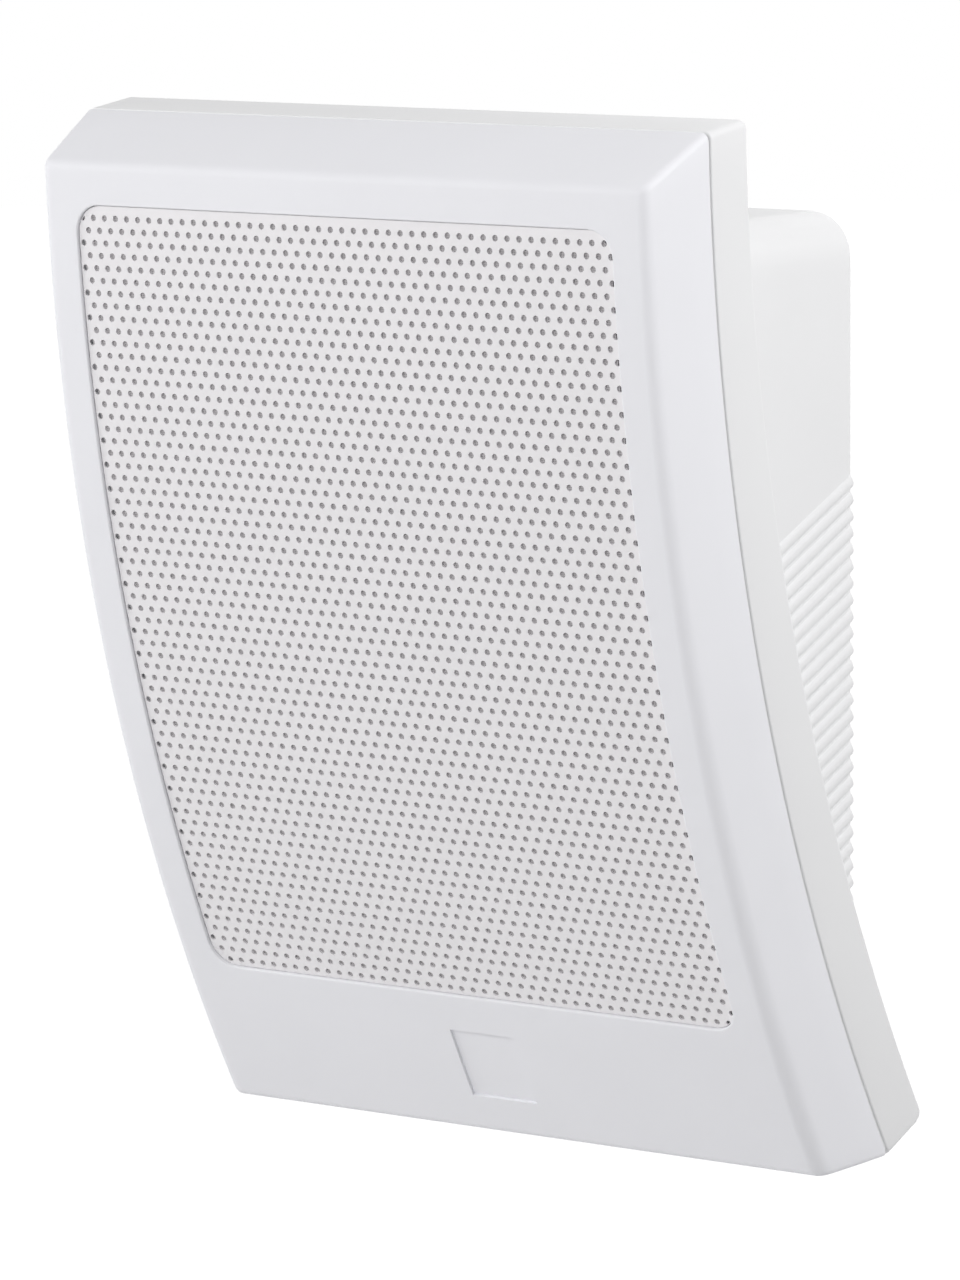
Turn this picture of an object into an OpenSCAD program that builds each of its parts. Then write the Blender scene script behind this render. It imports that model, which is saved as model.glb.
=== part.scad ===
// Curved wall speaker: a bowed slab with a perforated grille, and a box behind it that lies on the wall.
// The wall is the plane y = 0, the front faces -y and z is up. The origin is on the wall plane, midway
// between the entries of the two keyholes. Sizes are in millimetres and angles in degrees.
// The front face, the joint line and the back of the slab are arcs about one axis along x, behind the wall.

/* [Cabinet] */
// Width of the front face between its side ridges
face_w = 182; // [176:1:200]
// Length of the front face along its curve, from the top ridge to the bottom ridge
face_len = 258; // [248:1:275]
// Radius of the curved front face
face_radius = 542; // [500:1:620]
// How far the front face leans back at its top ridge
top_lean = 2.7; // [1:0.1:5]
// Distance from the wall to the top ridge
top_depth = 111; // [108:1:125]
// Height of the top ridge above the wall fixings
top_rise = 44; // [40:1:60]
// Radius of the soft ridge round the front face
ridge_r = 3; // [1:0.5:4]
// Depth of the front frame, from its face to the joint line
frame_depth = 22; // [21:0.5:24]
// Depth of the slab's rear part, from the joint line to its back
rear_depth = 16; // [14:0.5:18]
// How far each side wall spreads from the ridge to the joint line
side_flare = 2.7; // [1:0.1:5]
// How far the top and bottom walls spread from the ridge to the joint line
end_flare = 10.6; // [6:0.1:13]
// How far the top and bottom walls still spread behind the joint line
rear_flare = 1; // [0:0.1:2]
// Radius of the slab's back edges
rear_round = 5; // [2:0.5:6]
// Thickness of the moulded walls
wall = 2.5; // [2:0.1:3]
// Width and depth of the shadow groove at the joint line
groove = 0.6; // [0.3:0.1:1]
// Gap between the front frame and the rear shell at the joint line
joint_gap = 0.2; // [0.15:0.05:0.3]
// Height of the tongue that enters the front frame
tongue_h = 2; // [1.5:0.1:3]
// Clearance between the tongue and the frame's wall
tongue_gap = 0.2; // [0.1:0.05:0.4]

/* [Grille] */
// Width of the border beside the grille opening
border_w = 10.2; // [9:0.1:14]
// Length of the grille opening along the curve
opening_len = 205; // [190:1:206]
// Distance from the top ridge to the grille opening
opening_top = 10.2; // [8:0.1:16]
// Corner radius of the grille opening
opening_r = 7; // [4:0.5:12]
// How deep the sheet lies below the front face
grille_recess = 0.9; // [0.5:0.1:1.5]
// Thickness of the sheet
sheet_t = 1; // [0.8:0.1:1.2]
// Gap round the sheet
sheet_gap = 0.5; // [0.3:0.1:1]
// Spacing of the modelled holes: the real sheet's is 3.5, a third of this
hole_pitch = 10.5; // [10:0.5:16]
// Width of a modelled hole across its corners
hole_d = 6; // [4:0.5:7]
// Solid rim between the last holes and the sheet's edge
hole_margin = 2.5; // [1.5:0.5:6]
// Width of the seat under the sheet's edge
seat_w = 3.5; // [2.5:0.5:5]
// Thickness of the seat
seat_t = 1.8; // [1.5:0.1:2.5]
// Thickness of the cloth behind the sheet
cloth_t = 0.4; // [0.3:0.1:0.6]

/* [Badge pocket] */
// Width of the bare pocket in the bottom border
pocket_w = 22.5; // [16:0.5:30]
// Height of the pocket
pocket_h = 19; // [12:0.5:24]
// Depth of the pocket
pocket_depth = 1; // [0.5:0.1:1.2]
// Distance from the bottom ridge to the middle of the pocket
pocket_up = 21.5; // [18:0.5:24]

/* [Wall box] */
// How far each side of the box is set in from the cabinet's side
box_inset = 18.7; // [16:0.1:24]
// Height of the box above the wall fixings
box_top = 31; // [26:1:34]
// Depth of the box below the wall fixings
box_bottom = 166; // [155:1:172]
// Radius of the box's four long edges
box_r = 7; // [4:0.5:10]
// Thickness of the wall that lies on the wall plane
back_wall = 3; // [2.5:0.1:4]

/* [Side ribs] */
// Spacing of the ribs, measured up the wall
rib_pitch = 4.15; // [3.6:0.05:6]
// Width of a rib
rib_w = 3.3; // [2:0.1:3.4]
// How far a rib stands out of the box's side
rib_h = 1.1; // [0.6:0.1:1.5]
// How steeply the ribs rise towards the wall
rib_tilt = 24; // [0:1:30]
// Distance from the wall fixings down to the top rib's end
rib_start = 29; // [20:1:60]

/* [Wall fixings] */
// Distance between the two keyholes
keyhole_spacing = 90; // [84:1:100]
// Width of the keyhole's round entry
keyhole_d = 9; // [8:0.5:10]
// Width of the keyhole's slot
keyhole_slot = 4.5; // [4:0.1:5]
// Height of the slot above the middle of the entry
keyhole_rise = 9; // [7:0.5:11]

/* [Cable entry] */
// Distance from the wall fixings down to the cable entry
entry_down = 106; // [103:1:110]
// Width of the hole for the grommet
entry_d = 14; // [12:0.5:16]
// Bore of the grommet
entry_bore = 7; // [5:0.5:8]
// Width of the grommet's flanges
grommet_d = 18; // [17:0.5:20]

/* [Driver] */
// Distance from the middle of the grille's curve to the back of the baffle
mount_depth = 15.5; // [15:0.1:17]
// Thickness of the baffle
baffle_t = 3; // [2.5:0.1:3.5]
// Width of the driver's rim beyond the baffle's opening
rim_w = 9; // [8.5:0.1:9.5]
// Width of the surround's half roll
roll_w = 8.5; // [7:0.5:9]
// Width of the surround's outer flange
flange_w = 3; // [2.5:0.1:3.5]
// Thickness of the driver's gasket
gasket_t = 1.5; // [1:0.1:2]
// Thickness of the basket's steel
basket_t = 1.2; // [1:0.1:1.5]
// Outer width of the cone
cone_d = 115; // [112:1:116]
// Width of the whizzer cone, from the voice coil to its free edge
whizzer_w = 17; // [12:0.5:19]
// Bore of the voice coil former
coil_d = 25; // [24:0.5:26]
// Travel of the cone each way
cone_travel = 3; // [1:0.5:3]
// Gap between the driver's back plate and the cabinet's back wall
magnet_gap = 4; // [3:0.1:5]
// Width of the magnet
magnet_d = 80; // [76:1:82]
// Thickness of the magnet
magnet_t = 12; // [10:0.5:13]
// Thickness of the top plate and of the back plate
plate_t = 5; // [4:0.5:5.5]

/* [Transformer] */
// Length of the core along x
core_w = 41; // [36:1:44]
// Height of the core off the wall
core_h = 34; // [30:1:36]
// Thickness of the core's stack
core_t = 14; // [12:1:15]
// Thickness of the strap
strap_t = 1; // [0.8:0.1:1.2]
// Distance between the strap's screws
strap_pitch = 52; // [50:1:54]

/* [Terminal block] */
// Length of the block
block_w = 34; // [30:1:40]
// Height of the block up the wall
block_h = 14; // [12:1:15]
// Depth of the block off the wall
block_t = 13; // [11:1:14]
// Distance from the wall fixings down to the middle of the block
block_down = 132; // [129:1:136]

/* [Fasteners] */
// Shank width of the cabinet's screws
screw_d = 3.5; // [3:0.1:4]
// Head width of the cabinet's screws
head_d = 6.5; // [6:0.1:7]
// Width of the posts that take the cabinet's screws
post_d = 8; // [7.5:0.1:8.4]
// Height of a screw's head
head_h = 2.2; // [1.8:0.1:2.6]
// How deep the cabinet's screws enter their posts
screw_grip = 12; // [9:0.5:12.5]

/* [Hidden] */
$fn = 48;
eps = 0.01;
far = 400;
arc_fn = 720;

function arc_angle(length, radius) = length / radius * 180 / PI;
function unit(v) = v / norm(v);
function turned_in(d) = [d[1], -d[0]];

// Points on a round between two rays that leave the corner p along d1 and d2
function rounded(p, d1, d2, r, n = 5) =
    let (half = acos(d1 * d2) / 2,
         c = p + unit(d1 + d2) * r / sin(half),
         from = p + d1 * r / tan(half) - c,
         to = p + d2 * r / tan(half) - c,
         turn = 180 - 2 * half)
    [for (i = [0:n]) c + (from * sin((1 - i / n) * turn) + to * sin(i / n * turn)) / sin(turn)];

// The last point of a round, carried on past it along its last chord
function beyond(points, reach) =
    let (n = len(points) - 1)
    points[n] + unit(points[n] - points[n - 1]) * reach;

function reversed(points) = [for (i = [len(points) - 1:-1:0]) points[i]];

// Corner points of a rectangle with round corners, about the origin
function round_rect(w, h, r, n = 6) =
    [for (k = [0:3])
        let (sx = (k == 0 || k == 3) ? 1 : -1, sy = k < 2 ? 1 : -1)
        for (i = [0:n])
            [sx * (w / 2 - r) + r * cos(90 * k + 90 * i / n),
             sy * (h / 2 - r) + r * sin(90 * k + 90 * i / n)]];

axis_y = face_radius * cos(top_lean) - top_depth;
axis_z = top_rise + face_radius * sin(top_lean);
joint_r = face_radius - frame_depth;
rear_r = joint_r - rear_depth;
a_top = top_lean;
a_bottom = top_lean + arc_angle(face_len, face_radius);
a_top_joint = a_top - arc_angle(end_flare, joint_r);
a_bottom_joint = a_bottom + arc_angle(end_flare, joint_r);
a_top_rear = a_top_joint - arc_angle(rear_flare, rear_r);
a_bottom_rear = a_bottom_joint + arc_angle(rear_flare, rear_r);
cabinet_w = face_w + 2 * side_flare;
opening_w = face_w - 2 * border_w;
box_w = cabinet_w - 2 * box_inset;
cone_r = cone_d / 2;
roll_in = cone_r;
roll_out = cone_r + roll_w;
cutout_d = 2 * (roll_out + flange_w);
rim_d = cutout_d + 2 * rim_w;

grille_r = face_radius - grille_recess;
seat_r = grille_r - sheet_t - cloth_t;
cloth_r = seat_r + 0.1;
a_open = a_top + arc_angle(opening_top, face_radius);
a_mid = a_open + arc_angle(opening_len, face_radius) / 2;
// Height of the opening seen square on, across its arc
opening_h = 2 * grille_r * sin(arc_angle(opening_len, face_radius) / 2);
mount_q = grille_r - mount_depth;
a_pocket = a_bottom - arc_angle(pocket_up, face_radius);

// A point on the arcs, in the plane of the side view: [y, z]
function at(r, a) = [axis_y - r * cos(a), axis_z - r * sin(a)];

// Seen along x, with the drawing's x along y and its y along z
module side_prism(points, width) {
    rotate([90, 0, 90]) linear_extrude(width, center = true) polygon(points);
}

// The arcs' axis: a revolved drawing's x is the radius and its y runs along x
module about_axis() {
    translate([0, axis_y, axis_z]) rotate([-90, 0, 0]) rotate([0, 90, 0]) children();
}

module arc_body(a0, a1, points) {
    about_axis() rotate([0, 0, a0]) rotate_extrude(angle = a1 - a0, $fn = arc_fn) polygon(points);
}

// A frame at angle a with its origin on the arcs' axis: -y points out of the front, z up along it
module at_angle(a) {
    translate([0, axis_y, axis_z]) rotate([a, 0, 0]) children();
}

// The driver's frame: origin where its axis meets the back of the baffle, +z into the cabinet
module in_driver() {
    at_angle(a_mid) translate([0, -mount_q, 0]) rotate([-90, 0, 0]) children();
}

// Side outline of the front frame, each wall set in by inset, with the ridges rounded
function front_outline(inset, r) =
    let (top = unit(at(joint_r, a_top_joint) - at(face_radius, a_top)),
         foot = unit(at(joint_r, a_bottom_joint) - at(face_radius, a_bottom)),
         p = at(face_radius, a_top) + turned_in(top) * inset,
         q = at(face_radius, a_bottom) - turned_in(foot) * inset,
         top_round = rounded(p, top, [sin(a_top), -cos(a_top)], r),
         foot_round = rounded(q, foot, [-sin(a_bottom), cos(a_bottom)], r))
    concat([p + top * 60], top_round, [beyond(top_round, 2)],
           [at(face_radius + 30, a_top + 3), at(face_radius + 30, a_bottom - 3)],
           [beyond(foot_round, 2)], reversed(foot_round), [q + foot * 60]);

// Side outline of a hollow in the front frame, with plain corners
function front_hollow(inset) =
    let (top = unit(at(joint_r, a_top_joint) - at(face_radius, a_top)),
         foot = unit(at(joint_r, a_bottom_joint) - at(face_radius, a_bottom)),
         p = at(face_radius, a_top) + turned_in(top) * inset,
         q = at(face_radius, a_bottom) - turned_in(foot) * inset)
    [p + top * 60, p - top * 30, q - foot * 30, q + foot * 60];

// Half width of the front frame at radius r, its sides carried on past the joint line
function half_w(r) = face_w / 2 + side_flare * (face_radius - r) / frame_depth;

module front_block(r0, r1, inset) {
    intersection() {
        side_prism(front_hollow(inset), cabinet_w + 10);
        arc_body(a_top - 6, a_bottom + 6,
                 [[r0, -half_w(r0) + inset], [r0, half_w(r0) - inset],
                  [r1, half_w(r1) - inset], [r1, -half_w(r1) + inset]]);
    }
}

module front_envelope() {
    flank = unit([-frame_depth, side_flare]);
    round_pts = rounded([face_radius, face_w / 2], flank, [0, -1], ridge_r);
    intersection() {
        side_prism(front_outline(0, ridge_r), cabinet_w + 10);
        arc_body(a_top - 6, a_bottom + 6,
                 concat([[joint_r, cabinet_w / 2]], round_pts,
                        [for (p = reversed(round_pts)) [p[0], -p[1]]],
                        [[joint_r, -cabinet_w / 2]]));
    }
}

// Side outline of the slab's rear part, each wall set in by inset
function rear_outline(inset) =
    let (top = unit(at(rear_r, a_top_rear) - at(joint_r, a_top_joint)),
         foot = unit(at(rear_r, a_bottom_rear) - at(joint_r, a_bottom_joint)),
         p = at(rear_r, a_top_rear) + turned_in(top) * inset,
         q = at(rear_r, a_bottom_rear) - turned_in(foot) * inset,
         top_round = rounded(p, -top, [sin(a_top_rear), -cos(a_top_rear)], rear_round),
         foot_round = rounded(q, -foot, [-sin(a_bottom_rear), cos(a_bottom_rear)], rear_round))
    concat([p - top * 60], top_round, [beyond(top_round, 2)],
           [at(rear_r - 30, a_top + 3), at(rear_r - 30, a_bottom - 3)],
           [beyond(foot_round, 2)], reversed(foot_round), [q - foot * 60]);

module rear_block(r0, r1, inset) {
    hw = cabinet_w / 2 - inset;
    round_pts = rounded([rear_r + inset, hw], [1, 0], [0, -1], rear_round);
    corner = r0 > rear_r + inset + rear_round ? [[r0, hw]] : round_pts;
    intersection() {
        side_prism(rear_outline(inset), cabinet_w + 10);
        arc_body(a_top - 6, a_bottom + 6,
                 concat([[r1, hw]], corner,
                        [for (p = reversed(corner)) [p[0], -p[1]]], [[r1, -hw]]));
        translate([-far, -far - (inset > groove ? inset : 0), -far]) cube([2 * far, far, 2 * far]);
    }
}

// A straight prism through the opening's outline, grown by g, along the middle of its curve
module opening_prism(g) {
    at_angle(a_mid) translate([0, -face_radius + 40, 0]) rotate([90, 0, 0])
        linear_extrude(80) polygon(round_rect(opening_w + 2 * g, opening_h + 2 * g, max(1, opening_r + g)));
}

// Places for the six cabinet screws: [x, place along the middle's up direction]
post_x = cabinet_w / 2 - wall - post_d / 2 + 0.6;
post_in = wall + rear_round;
post_top = joint_r * sin(a_mid - a_top_joint) - post_in - post_d / 2;
post_foot = joint_r * sin(a_bottom_joint - a_mid) - post_in - post_d / 2;
post_places = [for (s = [-1, 1]) for (v = [post_top, -rim_d / 4, -post_foot]) [s * post_x, v]];

// Distance from the arcs' axis to the surface of radius r, at place v, along the middle direction
function reach(r, v) = sqrt(r * r - v * v);

module at_posts() {
    for (p = post_places) {
        at_angle(a_mid) translate([p[0], 0, p[1]]) rotate([90, 0, 0]) children();
    }
}

// Screws: how much narrower a pilot hole is, and how thick the shell is under a cabinet screw's head
pilot = 0.8;
screw_seat = 4;

// A round bar along each screw, between two distances from the axis given at the post's place
module post_bars(d, r0, add0, r1, add1) {
    for (p = post_places) {
        q0 = reach(r0, p[1]) + add0;
        q1 = reach(r1, p[1]) + add1;
        at_angle(a_mid) translate([p[0], -q0, p[1]]) rotate([90, 0, 0]) cylinder(d = d, h = q1 - q0);
    }
}

module front_frame() {
    color("#E9EAED") difference() {
        union() {
            difference() {
                front_envelope();
                front_block(joint_r - 3, face_radius - wall, wall);
            }
            intersection() {
                front_envelope();
                union() {
                    frame_seat();
                    baffle();
                    post_bars(post_d, joint_r, 0, face_radius, -wall / 2);
                }
            }
        }
        intersection() {
            opening_prism(0);
            arc_body(a_top, a_bottom, [[seat_r, -face_w], [face_radius + 9, -face_w],
                                       [face_radius + 9, face_w], [seat_r, face_w]]);
        }
        opening_prism_through();
        in_driver() translate([0, 0, -baffle_t - 20]) cylinder(d = cutout_d, h = baffle_t + 30);
        at_angle(a_pocket) translate([-pocket_w / 2, -face_radius - 5, -pocket_h / 2])
            cube([pocket_w, 5 + pocket_depth, pocket_h]);
        post_bars(screw_d - pilot, joint_r, -5, joint_r, screw_grip + 1);
        driver_holes(screw_d - pilot, -baffle_t - 1, baffle_t + 2);
    }
}

// The seat is open inside its rim, down to the baffle
module opening_prism_through() {
    intersection() {
        opening_prism(-seat_w);
        arc_body(a_top, a_bottom, [[seat_r - 5, -face_w], [face_radius + 9, -face_w],
                                   [face_radius + 9, face_w], [seat_r - 5, face_w]]);
        at_angle(a_mid) translate([-face_w, -face_radius - 20, -face_len])
            cube([2 * face_w, 20 + face_radius - mount_q - baffle_t, 2 * face_len]);
    }
}

module frame_seat() {
    intersection() {
        opening_prism(wall);
        arc_body(a_top, a_bottom, [[seat_r - seat_t, -face_w], [seat_r, -face_w],
                                   [seat_r, face_w], [seat_r - seat_t, face_w]]);
    }
}

// Flat wall behind the cloth, whose back is the driver's seat
module baffle() {
    at_angle(a_mid) translate([-cabinet_w / 2, -mount_q - baffle_t, -opening_h / 2 - wall])
        cube([cabinet_w, baffle_t, opening_h + 2 * wall]);
    driver_holes(post_d - 1, -baffle_t - 4, 4 + baffle_t / 2);
}

screw_ring_d = cutout_d + rim_w + 1.5;
module driver_holes(d, z, h) {
    in_driver() for (k = [0:3]) {
        rotate(45 + 90 * k) translate([screw_ring_d / 2, 0, z]) cylinder(d = d, h = h);
    }
}

row_step = hole_pitch * sqrt(3) / 2;
sheet_w = opening_w - 2 * sheet_gap;
sheet_h = opening_h - 2 * sheet_gap;
rows = floor((sheet_h - 2 * hole_margin - hole_d) / 2 / row_step);
module grille() {
    color("#E3E0E1") difference() {
        intersection() {
            opening_prism(-sheet_gap);
            arc_body(a_top, a_bottom, [[grille_r - sheet_t, -face_w], [grille_r, -face_w],
                                       [grille_r, face_w], [grille_r - sheet_t, face_w]]);
        }
        grille_holes();
    }
}

// Six-sided holes in rows along x, each second row shifted by half a pitch
columns = floor(((sheet_w - hole_d) / 2 - hole_margin) / hole_pitch);
module grille_holes() {
    for (i = [-rows:rows]) {
        shift = i % 2 == 0 ? 0 : hole_pitch / 2;
        at_angle(a_mid - arc_angle(i * row_step, grille_r)) {
            for (j = [-columns:columns - (shift > 0 ? 1 : 0)]) {
                corner = abs(i) == rows && abs(j * hole_pitch + shift) > columns * hole_pitch - 1;
                if (!corner) {
                    translate([j * hole_pitch + shift, -grille_r - 1, 0]) rotate([-90, 0, 0])
                        rotate(30) cylinder(d = hole_d, h = sheet_t + 2, $fn = 6);
                }
            }
        }
    }
}

module grille_cloth() {
    color("#3A3A3C") intersection() {
        opening_prism(-sheet_gap);
        arc_body(a_top, a_bottom, [[cloth_r, -face_w], [seat_r + cloth_t, -face_w],
                                   [seat_r + cloth_t, face_w], [cloth_r, face_w]]);
    }
}

box_mid = (box_top - box_bottom) / 2;
box_h = box_top + box_bottom;
box_front = axis_y - rear_r * cos(a_top) - 2;

// The box from the slab to the wall, set in by inset, ending at y = y1
module box_block(inset, y1) {
    translate([0, y1, box_mid]) rotate([90, 0, 0]) linear_extrude(far)
        polygon(round_rect(box_w - 2 * inset, box_h - 2 * inset, box_r - inset / 2));
}

// Space behind the slab's back face, or in front of it up to radius r
module inside_radius(r) {
    about_axis() cylinder(r = r, h = far, center = true, $fn = arc_fn);
}

rib_count = floor((box_bottom - rib_start) / rib_pitch) + 3;
rib_line_r = (rib_w * rib_w / 4 + rib_h * rib_h) / (2 * rib_h);
module side_ribs() {
    for (s = [-1, 1]) {
        intersection() {
            for (i = [0:rib_count - 1]) {
                translate([s * (box_w / 2 + rib_h - rib_line_r), 0, -rib_start - rib_pitch / 2 - i * rib_pitch])
                    rotate([90 + rib_tilt, 0, 0]) translate([0, 0, -20])
                    cylinder(r = rib_line_r, h = 160, $fn = 12);
            }
            inside_radius(rear_r + wall / 2);
            translate([s * (box_w / 2 + 1) - 3 + s * 1, -far, -box_bottom + box_r])
                cube([6 - eps, far, far]);
            translate([s * (box_w / 2 + 1) - 3 - s * 1, -far, -box_bottom + box_r])
                cube([6 - eps, far, far]);
        }
    }
}

module keyhole(x) {
    translate([x, 1, 0]) rotate([90, 0, 0]) cylinder(d = keyhole_d, h = back_wall + 2);
    translate([x, 1, keyhole_rise]) rotate([90, 0, 0]) cylinder(d = keyhole_slot, h = back_wall + 2);
    translate([x - keyhole_slot / 2, -back_wall - 1, 0]) cube([keyhole_slot, back_wall + 2, keyhole_rise]);
}

// Raised pads on the inside of the back wall, and their pilot holes
transformer_z = box_top - wall - core_t / 2 - 8;
strap_post = 3;
block_post = 2;
module wall_bar(x, z, d, y0, y1) {
    translate([x, y1, z]) rotate([90, 0, 0]) cylinder(d = d, h = y1 - y0);
}
strap_places = [for (s = [-1, 1]) [s * strap_pitch / 2, transformer_z]];
block_places = [for (s = [-1, 1]) [s * (block_w / 2 - 4), -block_down]];

module rear_shell() {
    color("#E6E7E9") difference() {
        union() {
            difference() {
                union() {
                    rear_block(rear_r, joint_r - groove, 0);
                    rear_block(rear_r + rear_round * 2, joint_r - joint_gap, groove);
                    intersection() {
                        box_block(0, 0);
                        inside_radius(rear_r + wall / 2);
                    }
                }
                rear_block(rear_r + wall, joint_r + 3, wall);
                intersection() {
                    box_block(wall, -back_wall);
                    inside_radius(rear_r + wall + 3);
                }
            }
            side_ribs();
            tongue();
            intersection() {
                post_bars(post_d + 1.5, rear_r, -6, joint_r, 0);
                union() {
                    rear_block(rear_r, joint_r - groove, 0);
                    rear_block(rear_r + rear_round * 2, joint_r - joint_gap, groove);
                }
            }
            for (p = strap_places) wall_bar(p[0], p[1], 7, -back_wall - strap_post, -back_wall / 2);
            for (p = block_places) wall_bar(p[0], p[1], 7, -back_wall - block_post, -back_wall / 2);
        }
        post_bars(head_d + 1, rear_r, -20, joint_r, -screw_seat);
        post_bars(screw_d + 0.4, rear_r, -20, joint_r, 5);
        for (s = [-1, 1]) keyhole(s * keyhole_spacing / 2);
        wall_bar(0, -entry_down, entry_d, -back_wall - 1, 1);
        for (p = concat(strap_places, block_places))
            wall_bar(p[0], p[1], screw_d - pilot, -back_wall - 9, -back_wall / 3);
    }
}

// The lip that enters the front frame, with room round the screw posts
module tongue() {
    lip_t = 1.2;
    difference() {
        union() {
            difference() {
                front_block(joint_r - joint_gap - eps, joint_r + tongue_h, wall + tongue_gap);
                front_block(joint_r - 1, joint_r + tongue_h + 1, wall + tongue_gap + lip_t);
            }
            difference() {
                rear_block(joint_r - 4, joint_r - joint_gap, wall - 0.5);
                rear_block(joint_r - 5, joint_r + 1, wall + tongue_gap + lip_t);
            }
        }
        post_bars(post_d + 1, joint_r, -2, joint_r, 6);
    }
}

module shell_screws() {
    color("#8A8C90") union() {
        post_bars(head_d, joint_r, -screw_seat - head_h, joint_r, -screw_seat);
        post_bars(screw_d - pilot, joint_r, -screw_seat - eps, joint_r, screw_grip);
    }
}

// Revolved pieces of the driver, drawn as [radius, depth] from the back of the baffle
coil_r = coil_d / 2;
former_t = 0.4;
winding_t = 0.6;
pole_r = coil_r - 0.5;
gap_r = coil_r + former_t + winding_t + 0.5;
paper_t = 0.6;
neck_r = coil_r + former_t;
// Depth of the back plate's rear face, where its lowest edge clears the back wall
motor_r = magnet_d / 2 - 2;
motor_z = mount_q - (axis_y + motor_r * sin(a_mid) + back_wall + magnet_gap) / cos(a_mid);
basket_h = motor_z - gasket_t - basket_t - 2 * plate_t - magnet_t;
cone_h = basket_h * 0.51;
neck_z = gasket_t + cone_h;
floor_z = gasket_t + basket_h;
plate_z = floor_z + basket_t;
magnet_z = plate_z + plate_t;
yoke_z = magnet_z + magnet_t;
ledge_z = gasket_t + basket_h * 2 / 3;
roll_mid = (roll_in + roll_out) / 2;
roll_r = (roll_out - roll_in) / 2;

module revolved(points) {
    in_driver() rotate_extrude($fn = 96) polygon(points);
}

module driver_gasket() {
    color("#2B2B2D") in_driver() difference() {
        cylinder(d = rim_d - 1, h = gasket_t, $fn = 96);
        translate([0, 0, -1]) cylinder(d = cutout_d + 2, h = gasket_t + 2, $fn = 96);
        for (k = [0:3]) rotate(45 + 90 * k) translate([screw_ring_d / 2, 0, -1]) cylinder(d = screw_d + 1, h = 9);
    }
}

module driver_basket() {
    rim_in = roll_out - 1;
    color("#4A4D52") in_driver() difference() {
        rotate_extrude($fn = 96) polygon([
            [rim_d / 2, gasket_t], [rim_in, gasket_t],
            [42, ledge_z], [34, ledge_z], [31, floor_z], [18, floor_z],
            [18, plate_z], [31 + basket_t, plate_z], [34 + basket_t, ledge_z + basket_t],
            [43, ledge_z + basket_t], [rim_in + basket_t, gasket_t + basket_t],
            [rim_d / 2, gasket_t + basket_t]]);
        for (k = [0:5]) rotate(60 * k) translate([0, 0, gasket_t + basket_t + 3]) basket_window();
        for (k = [0:3]) rotate(45 + 90 * k) translate([screw_ring_d / 2, 0, -1]) cylinder(d = screw_d + 0.8, h = 9);
    }
}

// A window between two of the basket's six spokes, widening outwards
module basket_window() {
    linear_extrude(ledge_z - gasket_t - basket_t - 6)
        polygon([[36, -13], [70, -28], [70, 28], [36, 13]]);
}

module driver_screws() {
    color("#8A8C90") in_driver() for (k = [0:3]) {
        rotate(45 + 90 * k) translate([screw_ring_d / 2, 0, 0]) {
            translate([0, 0, gasket_t + basket_t]) cylinder(d = head_d, h = head_h);
            translate([0, 0, -baffle_t - 0.5])
                cylinder(d = screw_d - pilot, h = gasket_t + basket_t + baffle_t + 0.5 + eps);
        }
    }
}

// Half roll in soft rubber: a flange on the basket, the roll, and a flange on the cone
module surround() {
    t = paper_t;
    z = gasket_t - t;
    color("#1E1E20") revolved(concat(
        [[roll_in - flange_w, z], [roll_in - flange_w, z - t]],
        [for (i = [0:8]) [roll_mid - roll_r * cos(180 * i / 8), z - t - roll_r * sin(180 * i / 8)]],
        [[cutout_d / 2 + 0.5, z - t], [cutout_d / 2 + 0.5, z + t], [roll_out - t, z + t]],
        [for (i = [8:-1:0]) [roll_mid - (roll_r - t) * cos(180 * i / 8), z - (roll_r - t) * sin(180 * i / 8)]]));
}

module cone() {
    z = gasket_t - paper_t;
    color("#3B3C40") revolved([
        [roll_in - 0.5, z], [roll_in - 0.5, z + paper_t], [roll_in - 3.5, z + paper_t],
        [neck_r + 6, neck_z - 3], [neck_r, neck_z], [neck_r, neck_z - paper_t],
        [neck_r + 6, neck_z - 3 - paper_t], [roll_in - 3.5, z]]);
}

module whizzer_cone() {
    z = neck_z - paper_t - 2;
    t = paper_t * 0.8;
    rise = cone_h * 0.7;
    color("#C9B791") revolved([
        [neck_r, z], [neck_r, z - t], [neck_r + whizzer_w * 0.47, z - rise * 0.64 - t / 2],
        [neck_r + whizzer_w, z - rise], [neck_r + whizzer_w, z - rise + t],
        [neck_r + whizzer_w * 0.47, z - rise * 0.64 + t]]);
}

module dust_cap() {
    z = neck_z - paper_t - 3;
    r = coil_r - eps;
    color("#55565A") revolved(concat(
        [for (i = [0:6]) [r * sin(90 * i / 6), z - 5 * cos(90 * i / 6)]],
        [[r, z + 1.5], [r - 0.5, z + 1.5]],
        [for (i = [6:-1:0]) [(r - 0.5) * sin(90 * i / 6), z - 4.5 * cos(90 * i / 6)]]));
}

module coil_former() {
    z = neck_z - paper_t - 2.5;
    color("#B98A4A") in_driver() translate([0, 0, z]) difference() {
        cylinder(r = neck_r, h = magnet_z + 2 - z, $fn = 96);
        translate([0, 0, -1]) cylinder(r = coil_r, h = 60, $fn = 96);
    }
}

module coil_winding() {
    color("#B5703A") in_driver() translate([0, 0, plate_z - 1.5]) difference() {
        cylinder(r = neck_r + winding_t, h = plate_t + 3, $fn = 96);
        translate([0, 0, -1]) cylinder(r = neck_r, h = 60, $fn = 96);
    }
}

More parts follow.
